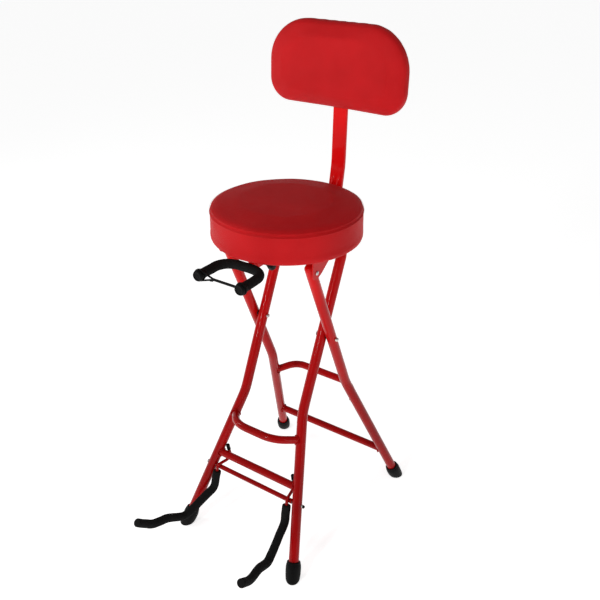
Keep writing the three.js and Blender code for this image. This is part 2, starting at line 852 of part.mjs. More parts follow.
// A flat bar bolted under the board, bent up behind the cushion and screwed to the pad's board
function backrestPost() {
  const under = platedFace - contactGap - postThickness / 2;
  const behind = padHalfThickness + contactGap + postThickness / 2;
  const foot = new THREE.Vector3(0, postFoot, postFootHeight);
  const neck = padPoint(0, behind, -postNeckBelowPad);
  const slope = (neck.y - foot.y) / (neck.z - foot.z);
  const heelY = foot.y - slope * (foot.z - under);
  const corners = [
    new THREE.Vector3(0, postFrontEnd, under),
    new THREE.Vector3(0, heelY, under),
    neck,
    padPoint(0, behind, postAbovePadCentre),
  ];
  const path = new BentPath(corners, [postBendRadius, postNeckRadius]);
  const halfWidth = postWidth / 2;
  const halfThickness = postThickness / 2;
  // The sweep lays the section's first axis upwards and its second one across
  const section = new THREE.Shape([
    new THREE.Vector2(postEdge - halfThickness, halfWidth),
    new THREE.Vector2(-halfThickness, halfWidth - postEdge),
    new THREE.Vector2(-halfThickness, postEdge - halfWidth),
    new THREE.Vector2(postEdge - halfThickness, -halfWidth),
    new THREE.Vector2(halfThickness - postEdge, -halfWidth),
    new THREE.Vector2(halfThickness, postEdge - halfWidth),
    new THREE.Vector2(halfThickness, halfWidth - postEdge),
    new THREE.Vector2(halfThickness - postEdge, halfWidth),
  ]);
  const bar = sweep(section, path);
  const underHoles = postBoltPlaces().map((y) =>
    hole(new THREE.Vector3(0, y, under - halfThickness), zAxis, screwHoleRadius, postThickness + overrun));
  const backHoles = padScrewPlaces.map((z) =>
    hole(padPoint(0, behind + halfThickness, z), padInward, screwHoleRadius, postThickness + overrun));
  return cut(bar, ...underHoles, ...backHoles);
}

function padScrew(z) {
  const face = padPoint(0, padHalfThickness + contactGap + postThickness, z);
  return screw(face, padInward, screwHeadRadius, screwHeadHeight, screwDiameter / 2,
    postThickness + padBoardThickness / 2 - overrun);
}

// The block under the board's front edge that the yoke's stem slides in
function yokeGuide() {
  const top = platedFace - contactGap;
  const bottom = yokeHeight - rodRadius - guideFloor;
  const outline = new THREE.Shape([
    new THREE.Vector2(-guideHalfWidth - guideEar, top),
    new THREE.Vector2(-guideHalfWidth - guideEar, top - guideEarThickness),
    new THREE.Vector2(-guideHalfWidth, top - guideEarThickness),
    new THREE.Vector2(-guideHalfWidth, bottom),
    new THREE.Vector2(guideHalfWidth, bottom),
    new THREE.Vector2(guideHalfWidth, top - guideEarThickness),
    new THREE.Vector2(guideHalfWidth + guideEar, top - guideEarThickness),
    new THREE.Vector2(guideHalfWidth + guideEar, top),
  ]);
  const bore = ring(rodRadius + contactGap, rodSides);
  outline.holes.push(new THREE.Path(bore.map((p) => new THREE.Vector2(p.x, p.y + yokeHeight))));
  const block = plateAlongY(outline, guideFront, guideLength);
  const knobHole = hole(new THREE.Vector3(guideHalfWidth, knobPlace, yokeHeight), inwardFrom(1),
    screwHoleRadius, guideHalfWidth - rodRadius + overrun / 2);
  const screwHoles = sides.map(({ sign }) =>
    hole(new THREE.Vector3(sign * guideScrewPlace, guideCentre, top - guideEarThickness), zAxis,
      screwHoleRadius, guideEarThickness + overrun));
  return cut(block, knobHole, ...screwHoles);
}

// A hand knob whose screw bears on the stem
function yokeKnob() {
  const tip = rodRadius + contactGap;
  const rim = knobLength / 4;
  const profile = [
    [0, 0],
    [screwDiameter / 2, 0],
    [screwDiameter / 2, knobStart - tip],
    [knobRadius - rim / 2, knobStart - tip],
    [knobRadius, knobStart - tip + rim],
    [knobRadius, knobStart - tip + knobLength - rim],
    [knobRadius - rim, knobStart - tip + knobLength],
    [0, knobStart - tip + knobLength],
  ];
  return turned(profile, new THREE.Vector3(tip, knobPlace, yokeHeight), xAxis, boltSides);
}

function seatGroup() {
  const group = new THREE.Group();
  group.add(mesh("seat_cushion", seatCushion(), redVinyl));
  group.add(mesh("seat_board", seatBoard(), plywood));
  group.add(mesh("backrest_post", backrestPost(), redPaint));
  group.add(mesh("backrest_board", backrestBoard(), plywood));
  group.add(mesh("backrest_pad", backrestPad(), redVinyl));
  group.add(mesh("yoke_guide", yokeGuide(), redPaint));
  group.add(mesh("yoke_knob", yokeKnob(), blackPlastic));
  postBoltPlaces().forEach((y, i) => {
    group.add(mesh(`post_bolt_${i + 1}`, boardScrew(0, y, postThickness), zinc));
  });
  padScrewPlaces.forEach((z, i) => {
    group.add(mesh(`pad_screw_${i + 1}`, padScrew(z), zinc));
  });
  for (const { name, sign } of sides) {
    const place = bracketScrewPlace(sign);
    const bracketScrew = boardScrew(place.x, place.y, bracketSheet);
    const guideScrew = boardScrew(sign * guideScrewPlace, guideCentre, guideEarThickness);
    group.add(mesh(`hinge_bracket_${name}`, hingeBracket(sign), redPaint));
    group.add(mesh(`bracket_screw_${name}`, bracketScrew, zinc));
    group.add(mesh(`guide_screw_${name}`, guideScrew, zinc));
    group.add(mesh(`tube_saddle_${name}`, saddle(sign), blackPlastic));
  }
  return group;
}

function yokePath(tipY) {
  const corners = [
    new THREE.Vector3(-yokeHalfWidth, tipY, yokeHeight),
    new THREE.Vector3(-yokeHalfWidth, yokeApex, yokeHeight),
    new THREE.Vector3(yokeHalfWidth, yokeApex, yokeHeight),
    new THREE.Vector3(yokeHalfWidth, tipY, yokeHeight),
  ];
  return new BentPath(corners, [yokeBendRadius, yokeBendRadius]);
}

function yokeCap(sign) {
  const bore = rodRadius + contactGap;
  const grooved = yokeCapRadius - yokeGrooveDepth;
  const grooveEnd = yokeGrooveStart + yokeGrooveWidth;
  const profile = [
    [bore, 0],
    [yokeCapRadius, 0],
    [yokeCapRadius, yokeGrooveStart],
    [grooved, yokeGrooveStart],
    [grooved, grooveEnd],
    [yokeCapRadius, grooveEnd],
    [yokeCapRadius, yokeCapLength - yokeCapFloor / 2],
    [yokeCapRadius - yokeCapFloor, yokeCapLength],
    [0, yokeCapLength],
    [0, yokeCapLength - yokeCapFloor],
    [bore, yokeCapLength - yokeCapFloor],
    [bore, 0],
  ];
  const start = new THREE.Vector3(sign * yokeHalfWidth, yokeCapStart - contactGap, yokeHeight);
  return turned(profile, start, yAxis.clone().negate());
}

// A rubber strap between the caps: a long loop over one cap and an eye over the other
function yokeStrap() {
  const inner = yokeCapRadius - yokeGrooveDepth + contactGap;
  const outer = inner + strapRim;
  const half = strapBand / 2;
  const span = 2 * yokeHalfWidth;
  const angle = Math.acos((outer - half) / strapLoopReach);
  const eyeReach = Math.sqrt(outer ** 2 - half ** 2);
  const eyeAngle = Math.atan2(half, -eyeReach);
  const outline = new THREE.Shape();
  outline.absarc(0, 0, outer, angle, 2 * Math.PI - angle, false);
  outline.lineTo(strapLoopReach, -half);
  outline.absarc(span, 0, outer, -eyeAngle, eyeAngle, false);
  outline.lineTo(strapLoopReach, half);
  const eye = new THREE.Path();
  const eyeStart = Math.acos(inner / strapEyeReach);
  eye.absarc(0, 0, inner, eyeStart, 2 * Math.PI - eyeStart, false);
  eye.lineTo(strapEyeReach, 0);
  outline.holes.push(eye);
  outline.holes.push(new THREE.Path().absarc(span, 0, inner, 0, 2 * Math.PI, false));
  const middle = yokeCapStart - contactGap - yokeGrooveStart - yokeGrooveWidth / 2;
  const strap = plateAlongY(outline, middle - strapThickness / 2, strapThickness, turnedSides / 2);
  return strap.translate(-yokeHalfWidth, 0, yokeHeight);
}

function yokeGroup() {
  const group = new THREE.Group();
  const rodTip = yokeCapStart - yokeCapLength + yokeCapFloor;
  const core = tube(yokePath(rodTip), rodRadius, rodSides);
  const stemFront = new THREE.Vector3(0, yokeApex, yokeHeight);
  const stemRear = new THREE.Vector3(0, stemEnd, yokeHeight);
  const stem = cylinder(stemFront, stemRear, rodRadius, rodSides);
  const foam = cut(
    tube(yokePath(yokeCapStart), yokeFoamDiameter / 2, foamSides),
    tube(yokePath(yokeCapStart - overrun), rodRadius + contactGap, rodSides),
    cylinder(stemFront, stemRear, rodRadius + contactGap, rodSides),
  );
  group.add(mesh("yoke_frame", join(core, stem), redPaint));
  group.add(mesh("yoke_foam", foam, blackFoam));
  group.add(mesh("yoke_strap", yokeStrap(), blackRubber));
  for (const { name, sign } of sides) {
    group.add(mesh(`yoke_cap_${name}`, yokeCap(sign), blackRubber));
  }
  return group;
}

// A point in an arm's upright plane, which splays outwards towards the front
function armPoint(sign, out, up) {
  const x = sign * (armRootHalf + out * Math.sin(armSplay));
  const { y, z } = axlePoint(0);
  return new THREE.Vector3(x, y - out * Math.cos(armSplay), z + up);
}

const armRise = axleRadius + armRodRadius + contactGap;

function armPath(sign, shorten) {
  const end = armCorners[armCorners.length - 1];
  const length = Math.hypot(armTip.out - end.out, armTip.up - end.up);
  const share = 1 - shorten / length;
  const corners = [
    armPoint(sign, leverTop.out, leverTop.up),
    armPoint(sign, leverHeel.out, armRise),
    armPoint(sign, armShoulder.out, armRise),
    ...armCorners.map(({ out, up }) => armPoint(sign, out, up)),
    armPoint(sign, end.out + (armTip.out - end.out) * share, end.up + (armTip.up - end.up) * share),
  ];
  const radii = [leverHeel.radius, armShoulder.radius, ...armCorners.map(({ radius }) => radius)];
  return new BentPath(corners, radii);
}

// Foam over an arm from below its shoulder to past the rod's tip
function armFoam(sign) {
  const [first] = armCorners;
  const fall = Math.hypot(first.out - armShoulder.out, first.up - armRise);
  const share = armFoamStart / fall;
  const corners = [
    armPoint(sign, armShoulder.out + (first.out - armShoulder.out) * share,
      armRise + (first.up - armRise) * share),
    ...armCorners.map(({ out, up }) => armPoint(sign, out, up)),
    armPoint(sign, armTip.out, armTip.up),
  ];
  const path = new BentPath(corners, armCorners.map(({ radius }) => radius));
  const foam = tube(path, armFoamDiameter / 2, foamSides);
  const bore = tube(armPath(sign, armFoamEnd - contactGap), armRodRadius + contactGap, rodSides);
  return cut(foam, bore);
}

function leverTip(sign) {
  const top = armPoint(sign, leverTop.out, leverTop.up);
  const up = top.clone().sub(armPoint(sign, leverHeel.out, armRise)).normalize();
  const bore = armRodRadius + contactGap;
  const radius = leverTipDiameter / 2;
  const profile = [
    [bore, leverTipFloor - leverTipLength],
    [radius, leverTipFloor - leverTipLength],
    [radius, 0],
    [radius - leverTipFloor, leverTipFloor],
    [0, leverTipFloor],
    [0, contactGap],
    [bore, contactGap],
    [bore, leverTipFloor - leverTipLength],
  ];
  return turned(profile, top, up, boltSides);
}

function cradleGroup() {
  const group = new THREE.Group();
  const axlePath = straight(axlePoint(-axleHalf), axlePoint(axleHalf));
  const axle = tube(axlePath, axleRadius, boltSides, boltHoleRadius);
  group.add(mesh("cradle_axle", axle, redPaint));
  for (const { name, sign } of sides) {
    const rod = tube(armPath(sign, armFoamEnd), armRodRadius, rodSides);
    group.add(mesh(`cradle_arm_${name}`, rod, redPaint));
    group.add(mesh(`cradle_foam_${name}`, armFoam(sign), blackFoam));
    group.add(mesh(`lever_tip_${name}`, leverTip(sign), blackRubber));
  }
  return group;
}

// The whole stool stands with its box centred over the origin
const stool = new THREE.Group();
const assembly = new THREE.Group();
assembly.add(rearFrameGroup(), frontFrameGroup(), seatGroup(), yokeGroup(), cradleGroup());
const reach = new THREE.Box3().setFromObject(assembly);
const middle = reach.getCenter(new THREE.Vector3());
assembly.position.set(-middle.x, -middle.y, 0);
stool.add(assembly);

export default stool;
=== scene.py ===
import json
import math

import bpy
import numpy as np
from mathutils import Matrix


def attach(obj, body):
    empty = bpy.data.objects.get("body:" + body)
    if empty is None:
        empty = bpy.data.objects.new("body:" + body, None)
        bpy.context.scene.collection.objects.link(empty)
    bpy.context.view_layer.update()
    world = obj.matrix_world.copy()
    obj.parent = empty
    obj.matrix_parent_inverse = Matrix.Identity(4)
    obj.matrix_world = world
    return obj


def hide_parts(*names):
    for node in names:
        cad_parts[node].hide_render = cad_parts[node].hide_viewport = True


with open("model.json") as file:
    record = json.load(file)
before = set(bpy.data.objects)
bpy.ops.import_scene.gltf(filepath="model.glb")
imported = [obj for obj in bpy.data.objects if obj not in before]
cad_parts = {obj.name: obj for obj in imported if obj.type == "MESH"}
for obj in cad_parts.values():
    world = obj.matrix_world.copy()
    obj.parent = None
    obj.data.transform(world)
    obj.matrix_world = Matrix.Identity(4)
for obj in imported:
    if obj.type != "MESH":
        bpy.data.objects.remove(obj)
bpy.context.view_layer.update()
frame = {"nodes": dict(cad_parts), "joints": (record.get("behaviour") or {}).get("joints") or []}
nodes = frame["nodes"]
joints = {joint["name"]: joint for joint in frame["joints"]}
millimetre = 0.001
# Places are worked out in millimetres from the point on the floor under the middle of the main pivot
pivotPlace = np.array([0, joints["frame_fold"]["pos_m"][1], 0])
print("frame loaded:", len(nodes), "nodes")

rng = np.random.default_rng(7)
bothSides = (("left", 1), ("right", -1))
quarters = ((1, 1), (-1, 1), (-1, -1), (1, -1))
sideways, backwards, upwards = np.eye(3)
# How many points go round each kind of piece
columns = {"leg": 48, "bar": 36, "rod": 28, "foam": 48, "strap": 20, "eye": 60, "bead": 120,
           "beadSection": 12, "footCap": 56, "yokeCap": 56, "screw": 64, "washer": 40, "nut": 72,
           "bolt": 60, "dome": 40, "sheath": 32, "knob": 72, "seat": 112, "stitch": 6, "staple": 8}


def unit(vector):
    vector = np.asarray(vector, float)
    return vector / np.linalg.norm(vector)


def around(count):
    return np.linspace(0, 2 * math.pi, count, endpoint=False)


# Two directions square to an axis and to each other
def squareTo(axis):
    first = unit(np.cross(axis, [0, 0, 1] if abs(axis[2]) < 0.9 else [0, 1, 0]))
    return first, np.cross(axis, first)


# The directions at some angles between two directions: cosine times the first plus sine times the second
def spun(angle, first, second):
    return np.cos(angle)[..., None] * first + np.sin(angle)[..., None] * second


# A bell curve of a distance, one at nought
def bell(distance, half):
    return np.exp(-(distance / half) ** 2)


# How much of its radius a quarter round has lost at a share of its width, all of it at the edge
def quarterRound(share):
    return 1 - np.sqrt(1 - (1 - share) ** 2)


# Straight runs joined by arcs: every inner corner gives
# way to an arc of its radius, as short as its runs need
def bend(corners, radii, turnStep=0.05):
    corners = np.asarray(corners, float)
    parts = [corners[:1]]
    for before, corner, after, radius in zip(corners[:-2], corners[1:-1], corners[2:], radii):
        into, out = unit(corner - before), unit(after - corner)
        angle = math.acos(min(1.0, max(-1.0, float(into @ out))))
        if angle < 1e-3:
            continue
        room = 0.48 * min(np.linalg.norm(corner - before), np.linalg.norm(after - corner))
        radius = min(radius, room / math.tan(angle / 2))
        centre = corner + unit(out - into) * radius / math.cos(angle / 2)
        arm = corner - into * radius * math.tan(angle / 2) - centre
        axis = unit(np.cross(into, out))
        turn = np.linspace(0, angle, int(angle / turnStep) + 3)
        parts.append(centre + spun(turn, arm, np.cross(axis, arm)))
    parts.append(corners[-1:])
    return np.concatenate(parts)


def lengthsAlong(path):
    return np.concatenate([[0], np.cumsum(np.linalg.norm(np.diff(path, axis=0), axis=1))])


def at(path, along, places):
    return np.stack([np.interp(places, along, path[:, i]) for i in range(3)], axis=-1)


# The same line with points a step apart
def evenly(path, step):
    along = lengthsAlong(path)
    return at(path, along, np.linspace(0, along[-1], max(3, int(along[-1] / step) + 2)))


# A smooth line through chosen points, as evenly spaced points on a cubic through them
def smoothLine(points, step):
    points = np.asarray(points, float)
    along = lengthsAlong(points)
    slopes = np.gradient(points, along, axis=0)
    places = np.linspace(0, along[-1], int(along[-1] / step) + 2)
    index = np.clip(np.searchsorted(along, places, side="right") - 1, 0, len(points) - 2)
    width = (along[index + 1] - along[index])[:, None]
    t = ((places - along[index]) / width[:, 0])[:, None]
    first, second = points[index], points[index + 1]
    return (first * (2 * t ** 3 - 3 * t ** 2 + 1) + slopes[index] * width * (t ** 3 - 2 * t ** 2 + t)
            + second * (3 * t ** 2 - 2 * t ** 3) + slopes[index + 1] * width * (t ** 3 - t ** 2))


# Rows of points as a closed shell: columns close round, and the ends close on their middle points or on
# each other; a shell whose volume comes out negative has its faces turned round
def shell(rows, closedLoop=False):
    count, sides = rows.shape[:2]
    points = rows.reshape(-1, 3)
    r, c = np.meshgrid(np.arange(count if closedLoop else count - 1), np.arange(sides), indexing="ij")
    nextRow, nextColumn = (r + 1) % count, (c + 1) % sides
    corners = [r * sides + c, r * sides + nextColumn, nextRow * sides + nextColumn, nextRow * sides + c]
    quads = np.stack(corners, -1).reshape(-1, 4)
    triangles = np.zeros((0, 3), int)
    if not closedLoop:
        column = np.arange(sides)
        first, last = len(points), len(points) + 1
        points = np.concatenate([points, [rows[0].mean(0), rows[-1].mean(0)]])
        base = (count - 1) * sides
        triangles = np.concatenate([
            np.stack([(column + 1) % sides, column, np.full(sides, first)], -1),
            np.stack([base + column, base + (column + 1) % sides, np.full(sides, last)], -1)])
    halves = np.concatenate([quads[:, [0, 1, 2]], quads[:, [0, 2, 3]], triangles])
    a, b, c = (points[halves[:, i]] for i in range(3))
    if np.einsum("ij,ij->", a, np.cross(b, c)) < 0:
        quads, triangles = quads[:, ::-1], triangles[:, ::-1]
    return points, quads.tolist() + triangles.tolist()


# An outline of across and up, carried along a path that lies in the plane
# square to the normal: each point is the path's point plus across times the
# normal plus up times the cross direction, and both ends are rounded off
def swept(path, normal, outline, edge=1.2, step=2.5):
    path = evenly(path, step)
    along = lengthsAlong(path)
    tangents = np.gradient(path, axis=0)
    ease = edge * (1 - np.cos(np.linspace(0, math.pi / 2, 6)))
    total = along[-1]
    inner = along[(along > edge * 1.2) & (along < total - edge * 1.2)]
    places = np.concatenate([ease, inner, total - ease[::-1]])
    near = np.clip(np.minimum(places, total - places), 0, edge)
    shrink = edge - np.sqrt(np.maximum(edge ** 2 - (edge - near) ** 2, 0))
    tangent = at(tangents, along, places)
    tangent /= np.linalg.norm(tangent, axis=1, keepdims=True)
    normal = unit(normal)
    side = np.cross(tangent, normal)
    across, up = outline(places)
    kept = 1 - shrink[:, None] / np.maximum(np.hypot(across, up), 1e-6)
    across, up = (across * kept)[..., None], (up * kept)[..., None]
    return shell(at(path, along, places)[:, None] + across * normal + up * side[:, None])


# An outline that stays the same all along its path
def steady(across, up):
    return lambda places: (np.tile(across, (len(places), 1)), np.tile(up, (len(places), 1)))


def roundOutline(radius, sides):
    return steady(radius * np.cos(around(sides)), radius * np.sin(around(sides)))


# A profile of radius and height turned about an axis; the shape factor makes the circle lobed or six-sided
def turned(profile, origin, axis, sides, factor=None, closedLoop=False):
    profile = np.asarray(profile, float)
    axis = unit(axis)
    radius = np.repeat(profile[:, :1], sides, axis=1)
    if factor is not None:
        radius = factor(radius, profile[:, 1:2], around(sides)[None])
    circle = radius[..., None] * spun(around(sides), *squareTo(axis))
    return shell(np.asarray(origin, float) + profile[:, 1, None, None] * axis + circle, closedLoop)


# A profile with its corners eased by a small radius
def eased(profile, fillet, closed=False):
    flat = np.array([[r, h, 0] for r, h in profile], float)
    if closed:
        middle = (flat[0] + flat[-1]) / 2
        flat = np.concatenate([[middle], flat, [middle]])
    path = bend(flat, [fillet] * (len(flat) - 2), 0.4)[:, :2]
    return path[:-1] if closed else path


def linked(name, data):
    thing = bpy.data.objects.new(name, data)
    bpy.context.scene.collection.objects.link(thing)
    return thing


# One mesh of all the shells, in its place in metres,
# riding on its body and standing for the replaced solids
def makePiece(name, shells, finish, body, *replaced, sharpAngle=38):
    points, faces, start = [], [], 0
    for shellPoints, shellFaces in (shells if isinstance(shells, list) else [shells]):
        points.append(shellPoints)
        faces += [[index + start for index in face] for face in shellFaces]
        start += len(shellPoints)
    mesh = bpy.data.meshes.new(name)
    mesh.from_pydata((np.concatenate(points) * millimetre + pivotPlace).tolist(), [], faces)
    mesh.update()
    mesh.polygons.foreach_set("use_smooth", [True] * len(mesh.polygons))
    mesh.set_sharp_from_angle(angle=math.radians(sharpAngle))
    mesh.materials.append(finishes[finish])
    piece = linked(name, mesh)
    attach(piece, body)
    if replaced:
        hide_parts(*replaced)
    return piece


# Shader sums written as Python expressions
class Sock:
    def __init__(self, tree, socket):
        self.tree = tree
        self.socket = socket

    def math(self, operation, *others):
        return addNode(self.tree, "ShaderNodeMath", {"operation": operation}, self, *others)

    def __add__(self, other):
        return self.math("ADD", other)

    def __sub__(self, other):
        return self.math("SUBTRACT", other)

    def __rsub__(self, other):
        return (self * -1) + other

    def __mul__(self, other):
        return self.math("MULTIPLY", other)

    __radd__ = __add__
    __rmul__ = __mul__


# Values or links for a node's sockets, by order or by name; None leaves a socket as it is
def feed(tree, node, pairs):
    for key, value in pairs:
        target = node.inputs[key.replace("_", " ") if isinstance(key, str) else key]
        if isinstance(value, Sock):
            tree.links.new(value.socket, target)
        elif value is not None:
            target.default_value = value


# Any node: its type, the settings made first, then its sockets
def addNode(tree, kind, settings, *ordered, output=0, **named):
    node = tree.nodes.new(kind)
    for key, value in settings.items():
        setattr(node, key, value)
    feed(tree, node, [*enumerate(ordered), *named.items()])
    return Sock(tree, node.outputs[output])


def grey(level):
    return (level, level, level, 1)


class Finish:
    def __init__(self, name):
        self.material = bpy.data.materials.new(name)
        self.material.use_nodes = True
        self.tree = self.material.node_tree
        self.place = self.node("ShaderNodeTexCoord", {}, output="Object")
        finishes[name] = self.material

    def node(self, kind, settings, *ordered, **named):
        return addNode(self.tree, kind, settings, *ordered, **named)

    def noise(self, scale, detail=2.0, roughness=0.5, stretch=None):
        place = self.place
        if stretch is not None:
            place = self.node("ShaderNodeMapping", {}, place, Scale=stretch)
        return self.node("ShaderNodeTexNoise", {}, Vector=place, Scale=scale, Detail=detail,
                         Roughness=roughness)

    def cells(self, scale, feature="F1"):
        return self.node("ShaderNodeTexVoronoi", {"feature": feature}, Vector=self.place, Scale=scale,
                         output="Distance")

    # The share of the way from low to high, held between 0 and 1
    def ramp(self, value, low, high):
        return self.node("ShaderNodeMapRange", {}, value, low, high, 0.0, 1.0)

    def bump(self, height, strength, distance, under=None):
        return self.node("ShaderNodeBump", {}, Strength=strength, Distance=distance, Height=height,
                         Normal=under)

    # The colour sockets of a Mix node come after its factor and five sockets for other types
    def mix(self, factor, first, second):
        return self.node("ShaderNodeMix", {"data_type": "RGBA"}, factor, *[None] * 5, first, second,
                         output=2)

    def set(self, **values):
        feed(self.tree, self.tree.nodes["Principled BSDF"], values.items())


finishes = {}

# Gloss powder coat: a fine orange peel, clouds of roughness and a colour painted darker toward the floor as
# shade,
# with a slight drift: the drift noise times 0.2 plus the square of the height's share times 0.8
# deep is the red in painted shade at the floor; clear is the red up high, where the painted shade has faded
# out
paintLook = {"deep": (0.25, 0.0005, 0.0008, 1), "clear": (0.86, 0.002, 0.003, 1),
             "speck": (0.8, 0.005, 0.008, 1), "peel": 620.0, "drift": 9.0, "clouds": 60.0, "floor": 0.1,
             "top": 0.9}


def redPaint():
    paint = Finish("red_paint")
    drift = paint.ramp(paint.noise(paintLook["drift"], 3.0), 0.3, 0.7)
    peel = paint.noise(paintLook["peel"], 1.0)
    fine = paint.noise(paintLook["peel"] * 4, 1.0)
    height = paint.node("ShaderNodeSeparateXYZ", {}, paint.place, output=2)
    # The height's share paints shade on the low parts: the lower the surface, the darker the red
    rise = paint.ramp(height, paintLook["floor"], paintLook["top"])
    colour = paint.mix(drift * 0.2 + rise * rise * 0.8, paintLook["deep"], paintLook["clear"])
    clouds = paint.ramp(paint.noise(paintLook["clouds"], 4.0), 0.25, 0.75)
    paint.set(Base_Color=paint.mix(paint.ramp(fine, 0.55, 0.8) * 0.12, colour, paintLook["speck"]),
              Roughness=0.3 + clouds * 0.1, Normal=paint.bump(peel + fine * 0.3, 0.1, 0.0002),
              Coat_Weight=0.7, Coat_Roughness=0.05, Coat_IOR=1.22, Specular_IOR_Level=0.05)


# Upholstery vinyl: small raised grain cells between fine creases, over softer wrinkles. The colour
# follows broad clouds of the vinyl's own tone by six tenths and the grain by four, the grain's part being
# painted shade in the creases and painted light on the raised cells, and the raised grain is a little
# glossier
vinylLook = {"shade": (0.48, 0.006, 0.008, 1), "lit": (0.60, 0.009, 0.012, 1), "grain": 780.0,
             "wrinkle": 55.0, "clouds": 14.0}


def redVinyl():
    vinyl = Finish("red_vinyl")
    grain = vinyl.ramp(vinyl.cells(vinylLook["grain"], "DISTANCE_TO_EDGE"), 0.0, 0.22)
    wrinkle = vinyl.noise(vinylLook["wrinkle"], 4.0, 0.6)
    broad = vinyl.ramp(vinyl.noise(vinylLook["clouds"], 3.0), 0.3, 0.7)
    # The grain's share paints shade into the creases between cells and light onto the raised cells
    colour = vinyl.mix(broad * 0.6 + grain * 0.4, vinylLook["shade"], vinylLook["lit"])
    under = vinyl.bump(wrinkle, 0.18, 0.0012)
    vinyl.set(Base_Color=colour, Roughness=0.5 - grain * 0.1 + wrinkle * 0.08,
              Normal=vinyl.bump(grain, 0.6, 0.0004, under), Specular_IOR_Level=0.09)


# Closed-cell foam: open pores on a dull skin, half of
# the drift in grey from the pores, which are painted darker as shade in
# their hollows, and half from the skin's own uneven grey
foamLook = {"dark": grey(0.004), "paleSkin": grey(0.013), "pore": 1500.0, "skin": 240.0}


def blackFoam():
    foam = Finish("black_foam")
    pores = foam.ramp(foam.cells(foamLook["pore"]), 0.1, 0.55)
    skin = foam.noise(foamLook["skin"], 5.0, 0.65)
    # The pores' part paints shade into their hollows; the skin's part is the foam's own uneven grey
    paleSkin = pores * 0.5 + foam.ramp(skin, 0.35, 0.75) * 0.5
    foam.set(Base_Color=foam.mix(paleSkin, foamLook["dark"], foamLook["paleSkin"]), Specular_IOR_Level=0.06,
             Roughness=0.82 + skin * 0.14, Normal=foam.bump(pores + skin, 0.55, 0.0006))


# Moulded rubber: a fine matte skin with scuffed, slightly greyer and rougher patches
rubberLook = {"dark": grey(0.0035), "scuffed": grey(0.012), "skin": 900.0, "scuffs": 75.0}


def blackRubber():
    rubber = Finish("black_rubber")
    scuff = rubber.ramp(rubber.noise(rubberLook["scuffs"], 6.0, 0.7), 0.5, 0.75)
    skin = rubber.noise(rubberLook["skin"], 3.0)
    rubber.set(Base_Color=rubber.mix(scuff, rubberLook["dark"], rubberLook["scuffed"]),
               Roughness=0.5 + scuff * 0.22, Specular_IOR_Level=0.08, Normal=rubber.bump(skin, 0.3, 0.0003))


# Moulded plastic: a spark-eroded texture in the gloss and the bump, and a slow drift in grey
plasticLook = {"dark": grey(0.0035), "light": grey(0.008), "texture": 1400.0, "drift": 40.0}


def blackPlastic():
    plastic = Finish("black_plastic")
    texture = plastic.noise(plasticLook["texture"], 2.0)
    drift = plastic.ramp(plastic.noise(plasticLook["drift"], 3.0), 0.35, 0.7)
    plastic.set(Base_Color=plastic.mix(drift, plasticLook["dark"], plasticLook["light"]),
                Roughness=0.36 + texture * 0.16, Specular_IOR_Level=0.15,
                Normal=plastic.bump(texture, 0.25, 0.0002))


# Bright zinc plate: a faint straw and blue drift, fine machining noise and uneven gloss
zincLook = {"cool": (0.56, 0.59, 0.63, 1), "warm": (0.66, 0.63, 0.56, 1), "grain": 2200.0, "drift": 160.0}


def zincPlate():
    zinc = Finish("zinc")
    drift = zinc.ramp(zinc.noise(zincLook["drift"], 3.0), 0.35, 0.65)
    grain = zinc.noise(zincLook["grain"], 2.0, stretch=(1, 1, 0.15))
    zinc.set(Base_Color=zinc.mix(drift, zincLook["cool"], zincLook["warm"]), Metallic=1.0,
             Roughness=0.22 + grain * 0.16, Normal=zinc.bump(grain, 0.12, 0.0001))


# Plywood: stretched grain by six tenths and growth lines
# by four, with pale flecks in the gloss and the bump
plyLook = {"pale": (0.56, 0.34, 0.16, 1), "dark": (0.27, 0.13, 0.05, 1), "grain": 26.0, "lines": 22.0,
           "flecks": 420.0}


def plywood():
    ply = Finish("plywood")
    warp = ply.noise(plyLook["grain"], 5.0, 0.6, stretch=(0.12, 1.6, 1.6))
    lines = ply.node("ShaderNodeTexWave", {"wave_type": "BANDS", "bands_direction": "Y"}, Vector=ply.place,
                     Scale=plyLook["lines"], Distortion=9.0, Detail=3.0, Detail_Scale=1.4)
    fleck = ply.noise(plyLook["flecks"], 2.0, 0.5, stretch=(0.08, 1, 1))
    ply.set(Base_Color=ply.mix(warp * 0.6 + lines * 0.4, plyLook["pale"], plyLook["dark"]),
            Roughness=0.62 + fleck * 0.2, Normal=ply.bump(fleck + lines * 0.4, 0.3, 0.0003))


for makeFinish in (redPaint, redVinyl, blackFoam, blackRubber, blackPlastic, zincPlate, plywood):
    makeFinish()
print("finishes made:", len(finishes))

# The two leaning frames: places by distance from the middle and height
frames = {
    "pivotHeight": 479.5, "legRadius": 11.0, "legEnd": 9.0, "flareRadius": 160.0, "plugEdge": 8.0,
    "front": {"lean": 215.8 / 479.5, "half": 76.8, "foot": 148.6, "flare": 321.0, "forward": -1},
    "rear": {"lean": 206.2 / 479.5, "half": 100.8, "foot": 172.0, "flare": 335.0, "forward": 1},
    "topTube": 670.5, "topBend": 44.7, "hinge": 665.0, "pastHinge": 15.5,
}


def onFrame(name, x, z):
    side = frames[name]
    return np.array([x, side["forward"] * (frames["pivotHeight"] - z) * side["lean"], z], float)


def outwardOf(name):
    side = frames[name]
    return unit([0, side["forward"], side["lean"]])


def halfWidth(name, z):
    side = frames[name]
    share = max(0.0, (side["flare"] - z) / (side["flare"] - frames["legEnd"]))
    return side["half"] + (side["foot"] - side["half"]) * share


# A circle carried along a leg's line, given by places on its frame
def legTube(name, side, corners, radii, replaced, edge=1.2):
    path = bend([onFrame(side, x, z) for x, z in corners], radii)
    tube = swept(path, outwardOf(side), roundOutline(frames["legRadius"], columns["leg"]), edge)
    makePiece(name, tube, "red_paint", f"{side}_frame", *replaced)


